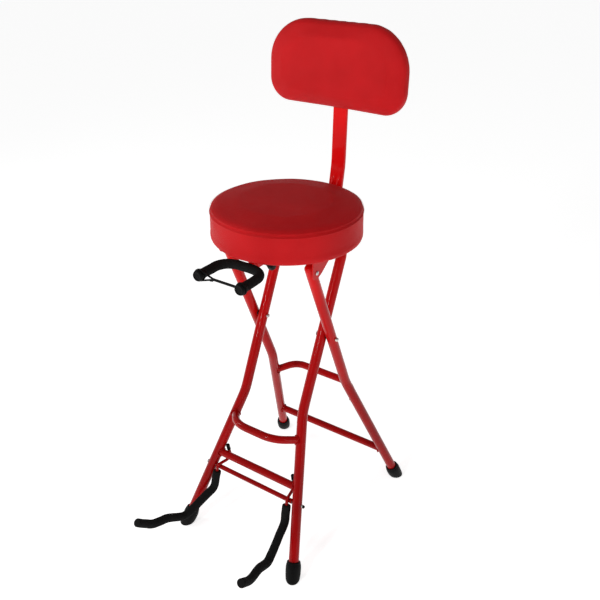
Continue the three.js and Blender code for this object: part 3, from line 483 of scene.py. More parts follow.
# Up one front leg, over the top bend and down the other
def frontFrameTube():
    side = frames["front"]
    half = [(side["foot"], frames["legEnd"]), (side["half"], side["flare"]),
            (side["half"], frames["topTube"])]
    corners = half + [(-x, z) for x, z in reversed(half)]
    radii = [frames["flareRadius"], frames["topBend"], frames["topBend"], frames["flareRadius"]]
    legTube("front_frame_tube", "front", corners, radii,
            ("front_top_tube", "front_leg_left", "front_leg_right"))


# Up a rear leg and past the hinge to the rounded plug in its end
def rearLegTube(word, sign):
    side = frames["rear"]
    top = frames["hinge"] + frames["pastHinge"] / math.hypot(1, side["lean"])
    corners = [(side["foot"], frames["legEnd"]), (side["half"], side["flare"]), (side["half"], top)]
    legTube(f"rear_leg_tube_{word}", "rear", [(sign * x, z) for x, z in corners], [frames["flareRadius"]],
            (f"rear_leg_{word}", f"leg_plug_{word}"), frames["plugEdge"])


bars = {
    "radius": 8.5,
    "frontStraight": 176.3, "rearLower": 99.8,
    "upper": {"height": 273.0, "endInset": 6.8, "cornerInset": 40.5, "endReach": 3.7, "reach": 38.3,
              "upTilt": math.radians(23.3), "radius": 66.0},
    "footrest": {"height": 269.0, "endInset": 0.0, "cornerInset": 39.2, "endReach": 0.0, "reach": 48.4,
                 "upTilt": math.radians(15), "radius": 60.0},
}
weld = {"size": 1.9, "armSize": 1.3, "back": 40.0, "fade": 0.9, "waves": ((26, 0.16), (9, 0.1)),
        "thin": 0.12, "bury": 0.25, "sink": 0.8}
beads = {"front_frame": [], "rear_frame": [], "cradle": []}


# A weld bead: where the bar's straight sides meet the leg's round one,
# a lumpy ring of small section is laid, its ripple a sum of sines round
# the joint, and it thins and sinks where the bar's side misses the leg
def weldBead(body, barPoint, direction, barRadius, legPoint, legDirection, legRadius, size, phase):
    direction, legDirection = unit(direction), unit(legDirection)
    first = unit(np.cross(direction, legDirection))
    angle = around(columns["bead"])
    outward = spun(angle, first, np.cross(direction, first))
    start = barPoint - weld["back"] * direction + barRadius * outward
    reach = start - legPoint
    reach = reach - (reach @ legDirection)[:, None] * legDirection
    run = direction - (direction @ legDirection) * legDirection
    a, b, c = run @ run, reach @ run, np.einsum("ij,ij->i", reach, reach) - legRadius ** 2
    root = np.sqrt(np.maximum(b * b - a * c, 0))
    nearest = np.sqrt(np.maximum(c + legRadius ** 2 - b * b / a, 0))
    grip = np.clip((legRadius - nearest) / weld["fade"], 0, 1)[:, None]
    meet = start + ((-b - root) / a)[:, None] * direction
    fromLeg = meet - legPoint
    fromLeg = fromLeg - (fromLeg @ legDirection)[:, None] * legDirection
    legOut = fromLeg / np.linalg.norm(fromLeg, axis=1, keepdims=True)
    (wide, wideHeight), (slow, slowHeight) = weld["waves"]
    ripple = 1 + wideHeight * np.sin(angle * wide + phase) + slowHeight * np.sin(angle * slow + 2 * phase)
    ripple = ripple[:, None] * size * (weld["thin"] + (1 - weld["thin"]) * grip)
    middle = meet + weld["bury"] * size * grip * (legOut + outward) - (1 - grip) * weld["sink"] * outward
    ring = spun(around(columns["beadSection"]), legOut[:, None], outward[:, None])
    beads[body].append(shell(middle[:, None] + ripple[:, None] * ring, closedLoop=True))


# A circle carried along a bar between the legs, with a bead where each end meets its leg
def crossBar(name, side, height, corners, radii, normal, phase):
    tube = swept(bend(corners, radii), normal, roundOutline(bars["radius"], columns["bar"]))
    makePiece(f"{name}_tube", tube, "red_paint", f"{side}_frame", name)
    for sign, tip, before in ((-1, corners[0], corners[1]), (1, corners[-1], corners[-2])):
        heights = (height, height + weld["back"])
        legAt, above = (onFrame(side, sign * halfWidth(side, z), z) for z in heights)
        weldBead(f"{side}_frame", tip, tip - before, bars["radius"], legAt, above - legAt,
                 frames["legRadius"], weld["size"], phase + sign)


def straightBar(name, side, height):
    half = halfWidth(side, height)
    corners = [onFrame(side, x, height) for x in (-half, half)]
    crossBar(name, side, height, corners, [], outwardOf(side), 0)


def bowedBar(name, side, size):
    height = size["height"]
    half = halfWidth(side, height)
    places = [(size["endInset"] - half, size["endReach"]), (size["cornerInset"] - half, size["reach"])]
    places += [(-x, reach) for x, reach in reversed(places)]
    off = np.array([0, frames[side]["forward"] * math.cos(size["upTilt"]), math.sin(size["upTilt"])])
    corners = [onFrame(side, x, height) + reach * off for x, reach in places]
    crossBar(name, side, height, corners, [size["radius"]] * 2, np.cross(off, [1, 0, 0]), 2)


frontFrameTube()
for word, sign in bothSides:
    rearLegTube(word, sign)
straightBar("front_straight_bar", "front", bars["frontStraight"])
straightBar("rear_lower_bar", "rear", bars["rearLower"])
bowedBar("rear_upper_bar", "rear", bars["upper"])
bowedBar("footrest_bar", "front", bars["footrest"])
print("frames and bars made")

foot = {"length": 31.0, "top": 14.3, "belly": 16.6, "bellyAt": 17.0, "bottom": 14.6, "toe": 4.0,
        "toeDepth": 3.2, "lip": 1.2, "bore": 11.2, "boreDepth": 3.0, "groove": 27.0, "grooveDepth": 0.5,
        "grooveHalf": 1.0, "lipPower": 1.6, "floorPower": 2.4, "rows": 44}


# A cap turned about the leg's axis and cut level by the floor: each side runs from the lip to where it
# meets the floor. From the belly the radius falls by a power of the height's share towards the lip and
# towards the floor, less a shallow groove, a bell curve, and the lip and the toe are quarter rounds
def footCap(name, side, sign):
    end = onFrame(side, sign * frames[side]["foot"], frames["legEnd"])
    up = unit(onFrame(side, sign * frames[side]["half"], frames[side]["flare"]) - end)
    first = unit(np.cross(up, [0, 1, 0]))
    out = spun(around(columns["footCap"]), first, np.cross(up, first))
    low = -(end[2] + foot["bottom"] * out[:, 2]) / up[2]
    height = foot["length"] + (low[None] - foot["length"]) * np.linspace(0, 1, foot["rows"])[:, None]
    above = np.clip((height - foot["bellyAt"]) / (foot["length"] - foot["bellyAt"]), 0, 1)
    below = np.clip((foot["bellyAt"] - height) / (foot["bellyAt"] - low[None]), 0, 1)
    radius = foot["belly"] - (foot["belly"] - foot["top"]) * above ** foot["lipPower"]
    radius = radius - (foot["belly"] - foot["bottom"]) * below ** foot["floorPower"]
    radius = radius - foot["grooveDepth"] * bell(height - foot["groove"], foot["grooveHalf"])
    radius = radius - foot["toeDepth"] * quarterRound(np.clip((height - low[None]) / foot["toe"], 0, 1))
    radius = radius - foot["lip"] * quarterRound(np.clip((foot["length"] - height) / foot["lip"], 0, 1))
    rows = end + height[..., None] * up + radius[..., None] * out
    rows[..., 2] = np.maximum(rows[..., 2], 0)
    inside = (foot["length"] - foot["boreDepth"], foot["length"])
    bore = [end + depth * up + foot["bore"] * out for depth in inside]
    cap = shell(np.concatenate([bore, rows]))
    makePiece(f"{name}_cap", cap, "black_rubber", f"{side}_frame", name)


for side in ("front", "rear"):
    for word, sign in bothSides:
        footCap(f"{side}_foot_{word}", side, sign)
print("foot caps made")

# The cross's arms, their width and the slopes of both are shares of the head's radius, its depth a share of
# the head's height; underSeat is the height at which brackets, guide and screws meet the seat
fixings = {"crossDepth": 1.1 / 2.8, "crossArm": 0.62, "crossWidth": 0.16, "armSlope": 0.08,
           "widthSlope": 0.07, "gap": 0.3, "bolt": 2.5, "headRadius": 5.2, "headHeight": 2.8,
           "domeEdge": 0.97, "domePower": 2.6, "underSeat": 693.7}


# A domed screw head on its shank: rings of a circle rise to the dome, whose height falls by a power of
# the radius, and a cross is pressed in, its depth a ramp of the distance from the arms' middle lines
def screwHead(face, outward, length, radius=fixings["headRadius"], height=fixings["headHeight"]):
    outward = unit(outward)
    first, second = squareTo(outward)
    angle = around(columns["screw"])
    ring = np.concatenate([np.linspace(1, 0.9, 4), np.linspace(0.84, 0.04, 18)])[:, None]
    across, along = ring * np.cos(angle), ring * np.sin(angle)
    arm = np.minimum(np.abs(across), np.abs(along))
    cross = np.clip((fixings["crossWidth"] - arm) / fixings["widthSlope"], 0, 1)
    cross = cross * np.clip((fixings["crossArm"] - ring) / fixings["armSlope"], 0, 1)
    dome = height * np.sqrt(np.clip(1 - (ring * fixings["domeEdge"]) ** fixings["domePower"], 0, 1))
    lift = dome - fixings["crossDepth"] * height * cross
    face = np.asarray(face, float) + outward * fixings["gap"]
    circle = spun(angle, first, second)
    head = face + lift[..., None] * outward + radius * ring[..., None] * circle
    shank = [face - length * outward + fixings["bolt"] * circle, face + fixings["bolt"] * circle,
             face + radius * circle]
    return shell(np.concatenate([np.array(shank), head]))


# Six flats: the circle's radius is cut down to the flat's
# distance over the cosine of the angle from its middle
def sixSided(flat):
    def factor(radius, height, angle):
        turn = (angle + math.pi / 6) % (math.pi / 3) - math.pi / 6
        return np.minimum(radius, flat / np.cos(turn))
    return factor


pivot = {"inner": frames["front"]["half"] - frames["legRadius"],
         "outer": frames["rear"]["half"] + frames["legRadius"],
         "washer": 6.0, "washerBore": 2.8, "washerThickness": 1.4, "washerFillet": 0.35, "headRadius": 5.4,
         "headHeight": 1.2, "pastNut": 3.0, "nutFlat": 4.2, "nutCorner": 4.75, "nutHeight": 5.2,
         "nutFillet": 0.4}


# The pivot's screw from inside or outside, a turned washer
# ring and a cap nut, whose profile is cut to six flats
def pivotSet(word, sign):
    def place(x):
        return np.array([x, 0, frames["pivotHeight"]])

    head, nut = (pivot["inner"], pivot["outer"]) if sign > 0 else (-pivot["outer"], -pivot["inner"])
    screw = screwHead(place(head), (-1, 0, 0), nut - head + pivot["pastNut"], pivot["headRadius"],
                      pivot["headHeight"])
    makePiece(f"pivot_bolt_{word}_screw", screw, "zinc", "rear_frame", f"pivot_bolt_{word}")
    bore, thick = pivot["washerBore"], pivot["washerThickness"]
    ring = eased([(bore, 0), (pivot["washer"], 0), (pivot["washer"], thick), (bore, thick)],
                 pivot["washerFillet"], closed=True)
    washerAt = place(sign * (frames["rear"]["half"] - frames["legRadius"] - fixings["gap"]))
    washer = turned(ring, washerAt, (-sign, 0, 0), columns["washer"], closedLoop=True)
    makePiece(f"pivot_washer_{word}_ring", washer, "black_plastic", "rear_frame", f"pivot_washer_{word}")
    corner, flat, tall = pivot["nutCorner"], pivot["nutFlat"], pivot["nutHeight"]
    profile = eased([(0.2, 0), (flat * 0.98, 0), (corner, 0.5), (corner, tall * 0.5),
                     (flat * 0.98, tall * 0.62), (flat * 0.8, tall * 0.86), (flat * 0.4, tall),
                     (0.2, tall * 1.02)], pivot["nutFillet"])
    cap = turned(profile, place(nut + fixings["gap"]), (1, 0, 0), columns["nut"], sixSided(flat))
    makePiece(f"pivot_nut_{word}_cap", cap, "zinc", "rear_frame", f"pivot_nut_{word}", sharpAngle=25)


bracket = {"inner": 66.0, "sheet": 2.5, "front": 13.0, "rear": 62.0, "drop": 14.0, "heel": 16.0,
           "bendRadius": 4.0, "screwIn": 12.0, "screwBehind": 42.0}
bracket["outer"] = frames["rear"]["half"] + frames["legRadius"] + fixings["gap"] + bracket["sheet"]
hinge = {"headRadius": 4.3, "headHeight": 2.4, "shank": 13.2}


def hingeScrew(word, sign):
    place = onFrame("rear", sign * bracket["outer"], frames["hinge"])
    screw = screwHead(place, (sign, 0, 0), hinge["shank"], hinge["headRadius"], hinge["headHeight"])
    makePiece(f"hinge_bolt_{word}_screw", screw, "zinc", "rear_frame", f"hinge_bolt_{word}")


axle = {"height": 146.3, "radius": 5.3, "headRadius": 4.4, "headHeight": 2.6, "lowHeight": 1.2,
        "capRadius": 3.6, "capHeight": 3.6, "grip": 14.0, "headFillet": 0.5, "capFillet": 0.9}


# How far the splayed front leg's sides are from its middle
# at the axle, for the axle's ends and the bolts' faces
def fitAxle():
    side = frames["front"]
    splay = (side["foot"] - side["half"]) / (side["flare"] - frames["legEnd"])
    slope = splay / math.hypot(1, side["lean"])
    legSide = frames["legRadius"] * math.hypot(1, slope)
    legMiddle = halfWidth("front", axle["height"])
    axle["half"] = legMiddle - legSide - fixings["gap"] - axle["radius"] * slope
    axle["face"] = legMiddle + legSide + axle["headRadius"] * slope


def axlePlace(x):
    return onFrame("front", x, axle["height"])


# Bolts turned about the axle's line, the left one's head cut to six flats under a domed cap
def axleBolts():
    radius = axle["headRadius"]
    for word, sign, height in (("left", 1, axle["headHeight"]), ("right", -1, axle["lowHeight"])):
        length = axle["face"] - axle["half"] + axle["grip"]
        profile = eased([(0.1, -length), (fixings["bolt"], -length), (fixings["bolt"], 0), (radius, 0),
                         (radius, height * 0.8), (radius * 0.85, height), (0.1, height)],
                        axle["headFillet"])
        head = turned(profile, axlePlace(sign * (axle["face"] + fixings["gap"])), (sign, 0, 0),
                      columns["bolt"], None if sign < 0 else sixSided(radius * 0.9))
        makePiece(f"axle_bolt_{word}_head", head, "zinc", "front_frame", f"axle_bolt_{word}", sharpAngle=30)
    base = axle["face"] + 2 * fixings["gap"] + axle["headHeight"]
    radius, tall = axle["capRadius"], axle["capHeight"]
    profile = eased([(0.1, 0), (radius, 0), (radius * 0.97, tall * 0.5), (radius * 0.7, tall * 0.9),
                     (0.1, tall)], axle["capFillet"])
    dome = turned(profile, axlePlace(base), (1, 0, 0), columns["dome"])
    makePiece("axle_bolt_cap_dome", dome, "black_plastic", "front_frame", "axle_bolt_cap")


fitAxle()
for word, sign in bothSides:
    pivotSet(word, sign)
    hingeScrew(word, sign)
axleBolts()
print("pivots, hinge screws and axle bolts made")

# An arm's places are out along its splayed direction and up from the axle, its bends shares of the reach
cradle = {"rootHalf": 94.4, "splay": math.atan(0.205), "reach": 226.0, "tipUp": -18.0, "rod": 3.5,
          "foam": 9.6, "foamStart": 15.0, "foamPast": 7.0, "shoulder": (7.0, 9.0), "heel": (-31.6, 12.0),
          "lever": (-23.5, 48.7), "tipRadius": 4.4, "tipLength": 13.0, "tipBore": 3.6, "weldOut": -6.0,
          "weldRadius": 2.6, "rodEdge": 0.8,
          "bends": [(0.093, -0.208, 0.071), (0.469, -0.354, 0.115), (0.673, -0.243, 0.265),
                    (0.841, -0.21, 0.177)]}


def armPlace(sign, out, up):
    turn = cradle["splay"]
    root = axlePlace(0)
    return np.array([sign * (cradle["rootHalf"] + out * math.sin(turn)), root[1] - out * math.cos(turn),
                     root[2] + up])


# A wave's height, its length along the sleeve, its turns round it and its share of the phase
foamSkin = {"waves": ((0.22, 19, 2, 1), (0.16, 8.3, -1, 2), (0.1, 3.9, 3, 0)), "pressed": 0.25,
            "edge": 2.2}


# A foam sleeve: a round tube whose radius drifts by a few
# tenths in slow waves along and round it, soft at its ends
def foamPiece(name, path, plane, radius, body, node, phase):
    angle = around(columns["foam"])[None]

    def outline(places):
        waves = [height * np.sin(places[:, None] / length + turns * angle + shift * phase)
                 for height, length, turns, shift in foamSkin["waves"]]
        size = radius - foamSkin["pressed"] + sum(waves)
        return size * np.cos(angle), size * np.sin(angle)

    sleeve = swept(path, plane, outline, foamSkin["edge"])
    piece = makePiece(name, sleeve, "black_foam", body, node)


# A circle carried from the lever over the axle and along the arm's bends, a foam sleeve on the same
# bends, a turned sheath on the lever and a bead where the rod crosses the axle
def cradleArm(word, sign):
    rise = axle["radius"] + cradle["rod"] + fixings["gap"]
    spots = [(out * cradle["reach"], up * cradle["reach"]) for out, up, radius in cradle["bends"]]
    bendRadii = [radius * cradle["reach"] for out, up, radius in cradle["bends"]]
    plane = np.array([sign * math.cos(cradle["splay"]), math.sin(cradle["splay"]), 0])
    tip = np.array([cradle["reach"], cradle["tipUp"]])
    last = np.array(spots[-1])
    rodTip = last + (tip - last) * (1 - cradle["foamPast"] / np.linalg.norm(tip - last))
    (shoulderOut, shoulderRadius), (heelOut, heelRadius) = cradle["shoulder"], cradle["heel"]
    rodSpots = [cradle["lever"], (heelOut, rise), (shoulderOut, rise), *spots, rodTip]
    path = bend([armPlace(sign, *spot) for spot in rodSpots], [heelRadius, shoulderRadius, *bendRadii])
    rod = swept(path, plane, roundOutline(cradle["rod"], columns["rod"]), cradle["rodEdge"])
    makePiece(f"cradle_arm_rod_{word}", rod, "red_paint", "cradle", f"cradle_arm_{word}")
    shoulder = np.array([shoulderOut, rise])
    start = shoulder + unit(spots[0] - shoulder) * cradle["foamStart"]
    foamPath = bend([armPlace(sign, *spot) for spot in (start, *spots, tip)], bendRadii)
    foamPiece(f"cradle_foam_sleeve_{word}", foamPath, plane, cradle["foam"], "cradle",
              f"cradle_foam_{word}", sign)
    radius, length = cradle["tipRadius"], cradle["tipLength"]
    profile = eased([(cradle["tipBore"], -length), (radius, -length), (radius, -length + 2),
                     (radius * 0.94, -length + 3), (radius, 0), (radius * 0.7, 1.9), (0.1, 2.0)], 1.2)
    leverEnd = armPlace(sign, *cradle["lever"])
    sheath = turned(profile, leverEnd, leverEnd - armPlace(sign, heelOut, rise), columns["sheath"])
    makePiece(f"lever_tip_sheath_{word}", sheath, "black_rubber", "cradle", f"lever_tip_{word}")
    weldBead("cradle", armPlace(sign, cradle["weldOut"], rise), (0, -1, 0), cradle["weldRadius"],
             axlePlace(sign * cradle["rootHalf"]), (1, 0, 0), axle["radius"], weld["armSize"], sign)


axleTube = swept(np.array([axlePlace(-axle["half"]), axlePlace(axle["half"])]), (0, 0, 1),
                 roundOutline(axle["radius"], columns["bar"]), cradle["rodEdge"])
makePiece("cradle_axle_tube", axleTube, "red_paint", "cradle", "cradle_axle")
for word, sign in bothSides:
    cradleArm(word, sign)
for body, shells in beads.items():
    makePiece(f"{body}_weld_beads", shells, "red_paint", body)
print("cradle and weld beads made")

yoke = {"height": 674.0, "half": 49.0, "bend": 48.0, "apex": -150.0, "capStart": -217.0, "capLength": 15.0,
        "capRadius": 11.0, "capBore": 4.3, "capFillet": 0.8, "rodInCap": 9.0, "groove": (4.0, 9.0),
        "grooveDepth": 2.0, "foam": 9.75, "foamPhase": 0.4, "rod": 4.0, "rodEdge": 0.8, "stemEnd": -30.0}
# The nub lies under the loop's tip: its ends are given from the tip, and the band starts inside the loop
strap = {"thickness": 3.4, "band": 5.0, "rim": 3.2, "nub": 3.6, "reach": 33.0, "slack": 3.0, "halfTip": 0.6,
         "bandIn": 2.0, "bandPast": 0.5, "nubEnds": ((-9.0, -4.2), (-1.0, -3.0)), "edge": 0.8,
         "nubEdge": 1.2}


# The yoke's bow lies level: two arms that run forward from a rounded back
def yokeLine(tipY):
    corners = [(-yoke["half"], tipY), (-yoke["half"], yoke["apex"])]
    corners += [(-x, y) for x, y in reversed(corners)]
    return bend([(x, y, yoke["height"]) for x, y in corners], [yoke["bend"]] * 2)


# Circles carried along the bow and along the stem
def yokeRod():
    outline = roundOutline(yoke["rod"], columns["rod"])
    bow = yokeLine(yoke["capStart"] - yoke["rodInCap"])
    stem = np.array([[0, y, yoke["height"]] for y in (yoke["apex"], yoke["stemEnd"])])
    parts = [swept(path, upwards, outline, yoke["rodEdge"]) for path in (bow, stem)]
    makePiece("yoke_rod", parts, "red_paint", "yoke", "yoke_frame")


# A round-ended cap turned about the rod's end, with a
# groove for the strap and a dished face with a raised ring
def yokeCap(word, sign):
    radius, length, groove = yoke["capRadius"], yoke["capLength"], yoke["groove"]
    deep, bore = radius - yoke["grooveDepth"], yoke["capBore"]
    profile = eased([(bore, 3), (bore, 0), (radius - 0.6, 0), (radius, groove[0] * 0.5),
                     (radius, groove[0]), (deep, groove[0]), (deep, groove[1]), (radius, groove[1]),
                     (radius, length * 0.8), (radius * 0.86, length), (radius * 0.66, length),
                     (radius * 0.6, length - 1.4), (radius * 0.28, length - 1.4),
                     (radius * 0.2, length - 0.7), (0.1, length - 0.7)],
                    yoke["capFillet"])
    start = (sign * yoke["half"], yoke["capStart"] - fixings["gap"], yoke["height"])
    cap = turned(profile, start, -backwards, columns["yokeCap"])
    makePiece(f"yoke_cap_end_{word}", cap, "black_rubber", "yoke", f"yoke_cap_{word}")


# A rounded strap section: a circle pushed towards a box by a fourth-power rule
def strapSection(width):
    angle = around(columns["strap"])
    size = (np.abs(np.cos(angle)) ** 4 + np.abs(np.sin(angle)) ** 4) ** -0.25
    return strap["thickness"] / 2 * size * np.cos(angle), width / 2 * size * np.sin(angle)


# The strap: the section carried round a drop-shaped loop on one cap, along a single
# band and a nub, and round an eye on the other cap, all in one upright plane
def yokeStrap():
    line = yoke["capRadius"] - yoke["grooveDepth"] + fixings["gap"] + strap["rim"] / 2
    tip = -yoke["half"] + strap["reach"]
    turn = math.acos(line / (strap["reach"] - strap["slack"]))
    shift = np.array([0, yoke["capStart"] - fixings["gap"] - sum(yoke["groove"]) / 2, yoke["height"]])
    drop = line * spun(np.linspace(turn, 2 * math.pi - turn, 48), sideways, upwards)
    drop = drop - yoke["half"] * sideways
    loop = np.concatenate([[[tip, 0, strap["halfTip"]]], drop, [[tip, 0, -strap["halfTip"]]]])
    band = np.array([[tip - strap["bandIn"], 0, 0], [yoke["half"] - line + strap["bandPast"], 0, 0]])
    nub = np.array([[tip + x, 0, z] for x, z in strap["nubEnds"]])
    lines = ((loop, "rim", "edge"), (band, "band", "edge"), (nub, "nub", "nubEdge"))
    parts = [swept(path + shift, backwards, steady(*strapSection(strap[width])), strap[edge])
             for path, width, edge in lines]
    outward = spun(around(columns["eye"]), sideways, upwards)
    across, up = (part[:, None] for part in strapSection(strap["rim"]))
    middle = line * outward + yoke["half"] * sideways + shift
    ring = middle[:, None] + across * backwards - up * outward[:, None]
    parts.append(shell(ring, closedLoop=True))
    makePiece("yoke_strap_band", parts, "black_rubber", "yoke", "yoke_strap")


yokeRod()
foamPiece("yoke_foam_sleeve", yokeLine(yoke["capStart"]), upwards, yoke["foam"], "yoke", "yoke_foam",
          yoke["foamPhase"])
yokeStrap()
for word, sign in bothSides:
    yokeCap(word, sign)
print("yoke made")


# Air pressure on cloth for a few frames; the moves are evened out between
# neighbours, each point keeps its move up to the cap, and held points stay
cloth = {"frames": 20, "quality": 6, "stiffness": 40, "smoothings": 30, "kept": 0.4}


def inflate(piece, held, pressure, cap):
    scene = bpy.context.scene
    group = piece.vertex_groups.new(name="held")
    for index in np.flatnonzero(held > 0):
        group.add([int(index)], float(held[index]), "REPLACE")
    sim = piece.modifiers.new("cloth", "CLOTH")
    sim.settings.quality = cloth["quality"]
    sim.settings.use_pressure = True
    sim.settings.uniform_pressure_force = pressure
    sim.settings.vertex_group_mass = "held"
    sim.settings.effector_weights.gravity = 0
    sim.settings.tension_stiffness = sim.settings.compression_stiffness = cloth["stiffness"]
    sim.point_cache.frame_start = 1
    sim.point_cache.frame_end = cloth["frames"]
    rest = readFlat(piece.data)
    for step in range(cloth["frames"]):
        scene.frame_set(step + 1)
    moved = readFlat(piece.evaluated_get(bpy.context.evaluated_depsgraph_get()).data)
    piece.modifiers.remove(sim)
    piece.vertex_groups.remove(group)
    scene.frame_set(1)
    shift = (moved - rest).reshape(-1, 3)
    edges = np.empty(len(piece.data.edges) * 2, np.int32)
    piece.data.edges.foreach_get("vertices", edges)
    first, second = edges.reshape(-1, 2).T
    count = np.maximum(np.bincount(edges, minlength=len(shift))[:, None], 1)
    for step in range(cloth["smoothings"]):
        total = np.zeros_like(shift)
        np.add.at(total, first, shift[second])
        np.add.at(total, second, shift[first])
        evened = cloth["kept"] * shift + (1 - cloth["kept"]) * total / count
        shift = np.where(held[:, None] >= 1, shift, evened)
    size = np.linalg.norm(shift, axis=1, keepdims=True)
    shift *= np.minimum(1, cap * millimetre / np.maximum(size, 1e-9))
    piece.data.vertices.foreach_set("co", (rest.reshape(-1, 3) + shift).ravel())
    piece.data.update()
    print("cloth settled on", piece.name, "largest move", round(float(size.max()) / millimetre, 1), "mm")


# One subdivision applied to the mesh, so that seams can be pressed in after it
def subdivided(piece):
    divide = piece.modifiers.new("subdivision", "SUBSURF")
    divide.levels = divide.render_levels = 1
    finer = bpy.data.meshes.new_from_object(piece.evaluated_get(bpy.context.evaluated_depsgraph_get()))
    old = piece.data
    piece.modifiers.clear()
    piece.data = finer
    bpy.data.meshes.remove(old)
    piece.data.polygons.foreach_set("use_smooth", [True] * len(piece.data.polygons))


def readFlat(mesh):
    flat = np.empty(len(mesh.vertices) * 3, np.float32)
    mesh.vertices.foreach_get("co", flat)
    return flat


def readPoints(piece):
    return (readFlat(piece.data).reshape(-1, 3) - pivotPlace) / millimetre


def writePoints(piece, points):
    piece.data.vertices.foreach_set("co", (points * millimetre + pivotPlace).astype(np.float32).ravel())
    piece.data.update()


seat = {"centre": -15.5, "board": 142.3, "boardTop": 706.6, "boardUnder": 694.26, "under": 694.0,
        "hem": 693.8, "hemInner": 112.0, "step": 4.2, "side": 139.0, "pressure": 4.0, "cap": 6.0,
        "top": 760.0, "crown": 769.4, "rim": 757.0}
seam = {"height": 753.0, "depth": 2.0, "half": 1.4, "welt": 1.3, "weltAt": 3.6, "weltHalf": 1.4,
        "heldHalf": 2.6, "heldFrom": 140.0}
pleats = {"count": 46, "depth": 0.22, "fade": 7.0, "sag": 712.0, "sagHalf": 4.5, "slack": 0.28, "dish": 0.5,
          "dishHalf": 70.0, "unevenness": 0.35}
# Radius and height of the recess round the board, then of
# the cushion's outer line from the hem up to the crown
seatRecess = [(40.0, seat["boardTop"]), (100.0, seat["boardTop"]), (seat["board"], seat["boardTop"]),
              (seat["board"], 700.0), (seat["board"], seat["boardUnder"]), (130.0, seat["boardUnder"]),
              (seat["hemInner"], seat["boardUnder"]), (seat["hemInner"], seat["hem"]), (124.0, 693.78),
              (134.0, seat["hem"])]
seatLine = [(143.0, 693.85), (148.4, 694.1), (151.0, 697.0), (152.0, 703.0), (151.4, 712.0),
            (150.9, 722.0), (150.9, 736.0), (150.8, 748.0), (150.3, 753.0), (149.0, 757.6), (145.0, 762.2),
            (137.0, 765.2), (120.0, 766.8), (84.0, 768.0), (40.0, 768.6), (6.0, 768.8)]


# The seat: recess and outer line turned about its middle and filled with air. Then the
# side moves outwards by two bell-shaped welts less the seam's groove between them,
# fine pleats that fade up from the hem, slow slack and a sag, the top by a product of
# waves less a shallow dish, and what stands over the crown is pressed down to it
def seatCushion():
    profile = np.concatenate([seatRecess, smoothLine(seatLine, seat["step"])])
    rows = turned(profile, (0, seat["centre"], 0), upwards, columns["seat"])
    piece = makePiece("seat_cushion_vinyl", rows, "red_vinyl", "seat", "seat_cushion", sharpAngle=60)
    points = readPoints(piece)
    height, reach = points[:, 2], np.hypot(points[:, 0], points[:, 1] - seat["centre"])
    overBoard = reach < seat["board"] + 0.5
    seamHeld = bell(height - seam["height"], seam["heldHalf"]) * (reach > seam["heldFrom"])
    held = np.where(overBoard, 0.0, seamHeld)
    held = np.where((height < seat["under"] + 1) | (height < seat["boardTop"] + 0.4) & overBoard, 1.0, held)
    inflate(piece, held, seat["pressure"], seat["cap"])
    subdivided(piece)
    points = readPoints(piece)
    x, y, height = points[:, 0], points[:, 1] - seat["centre"], points[:, 2].copy()
    reach, angle = np.hypot(x, y), np.arctan2(y, x)
    out = np.stack([x, y, np.zeros_like(x)], -1) / np.maximum(reach, 1)[:, None]
    level = height - seam["height"]
    press = seam["welt"] * bell(np.abs(level) - seam["weltAt"], seam["weltHalf"])
    press -= seam["depth"] * bell(level, seam["half"])
    tension = np.sin(pleats["count"] * angle + 1.3 * np.sin(5 * angle))
    tension *= pleats["depth"] * np.exp(-(height - seat["under"]) / pleats["fade"])
    slack = pleats["slack"] * np.sin(7 * angle + 0.6) * np.sin(height / 11 + 3 * angle)
    sag = bell(height - pleats["sag"], pleats["sagHalf"]) * (0.2 + 0.2 * np.sin(3 * angle + 2.2))
    side = (reach > seat["side"]) & (height > seat["under"] + 0.5)
    points += np.where(side, press + tension + slack - sag, 0)[:, None] * out
    uneven = pleats["unevenness"] * np.sin(x / 37 + 1) * np.cos(y / 29)
    top = (height > seat["top"]) & (reach < seat["side"])
    points[:, 2] += np.where(top, uneven - pleats["dish"] * bell(reach, pleats["dishHalf"]), 0)
    rim, height = seat["rim"], points[:, 2]
    share = min(1.0, (seat["crown"] - rim) / (height.max() - rim))
    points[:, 2] = np.where(height > rim, rim + (height - rim) * share, height)
    writePoints(piece, points)


stitch = {"count": 190, "length": 3.3, "radius": 0.28, "rows": (749.6, 756.4), "sunk": 0.15,
          "surface": ((748, 753, 758), (151.8, 151.2, 149.6))}


# Stitches: short threads in two rings, one each side of the seam, each a small tube along an arc of the
# side, whose radius falls off at its ends by a fourth-power rule and which bows out by a parabola
def seatStitches():
    share = np.linspace(-1, 1, 6)
    threads = []
    for height in stitch["rows"]:
        reach = np.interp(height, *stitch["surface"])
        swell = stitch["radius"] * np.sqrt(1 - (share * 0.96) ** 4)
        distance = reach - stitch["sunk"] + stitch["radius"] * 1.1 * (1 - share ** 2)
        for middle in around(stitch["count"]):
            spot = middle + share * stitch["length"] / 2 / reach
            outward = spun(spot, sideways, backwards)
            centre = distance[:, None] * outward + np.array([0, seat["centre"], height])
            ring = spun(around(columns["stitch"]), outward[:, None], upwards)
            threads.append(shell(centre[:, None] + swell[:, None, None] * ring))
    makePiece("seat_stitches", threads, "red_vinyl", "seat")


seatCushion()
seatStitches()

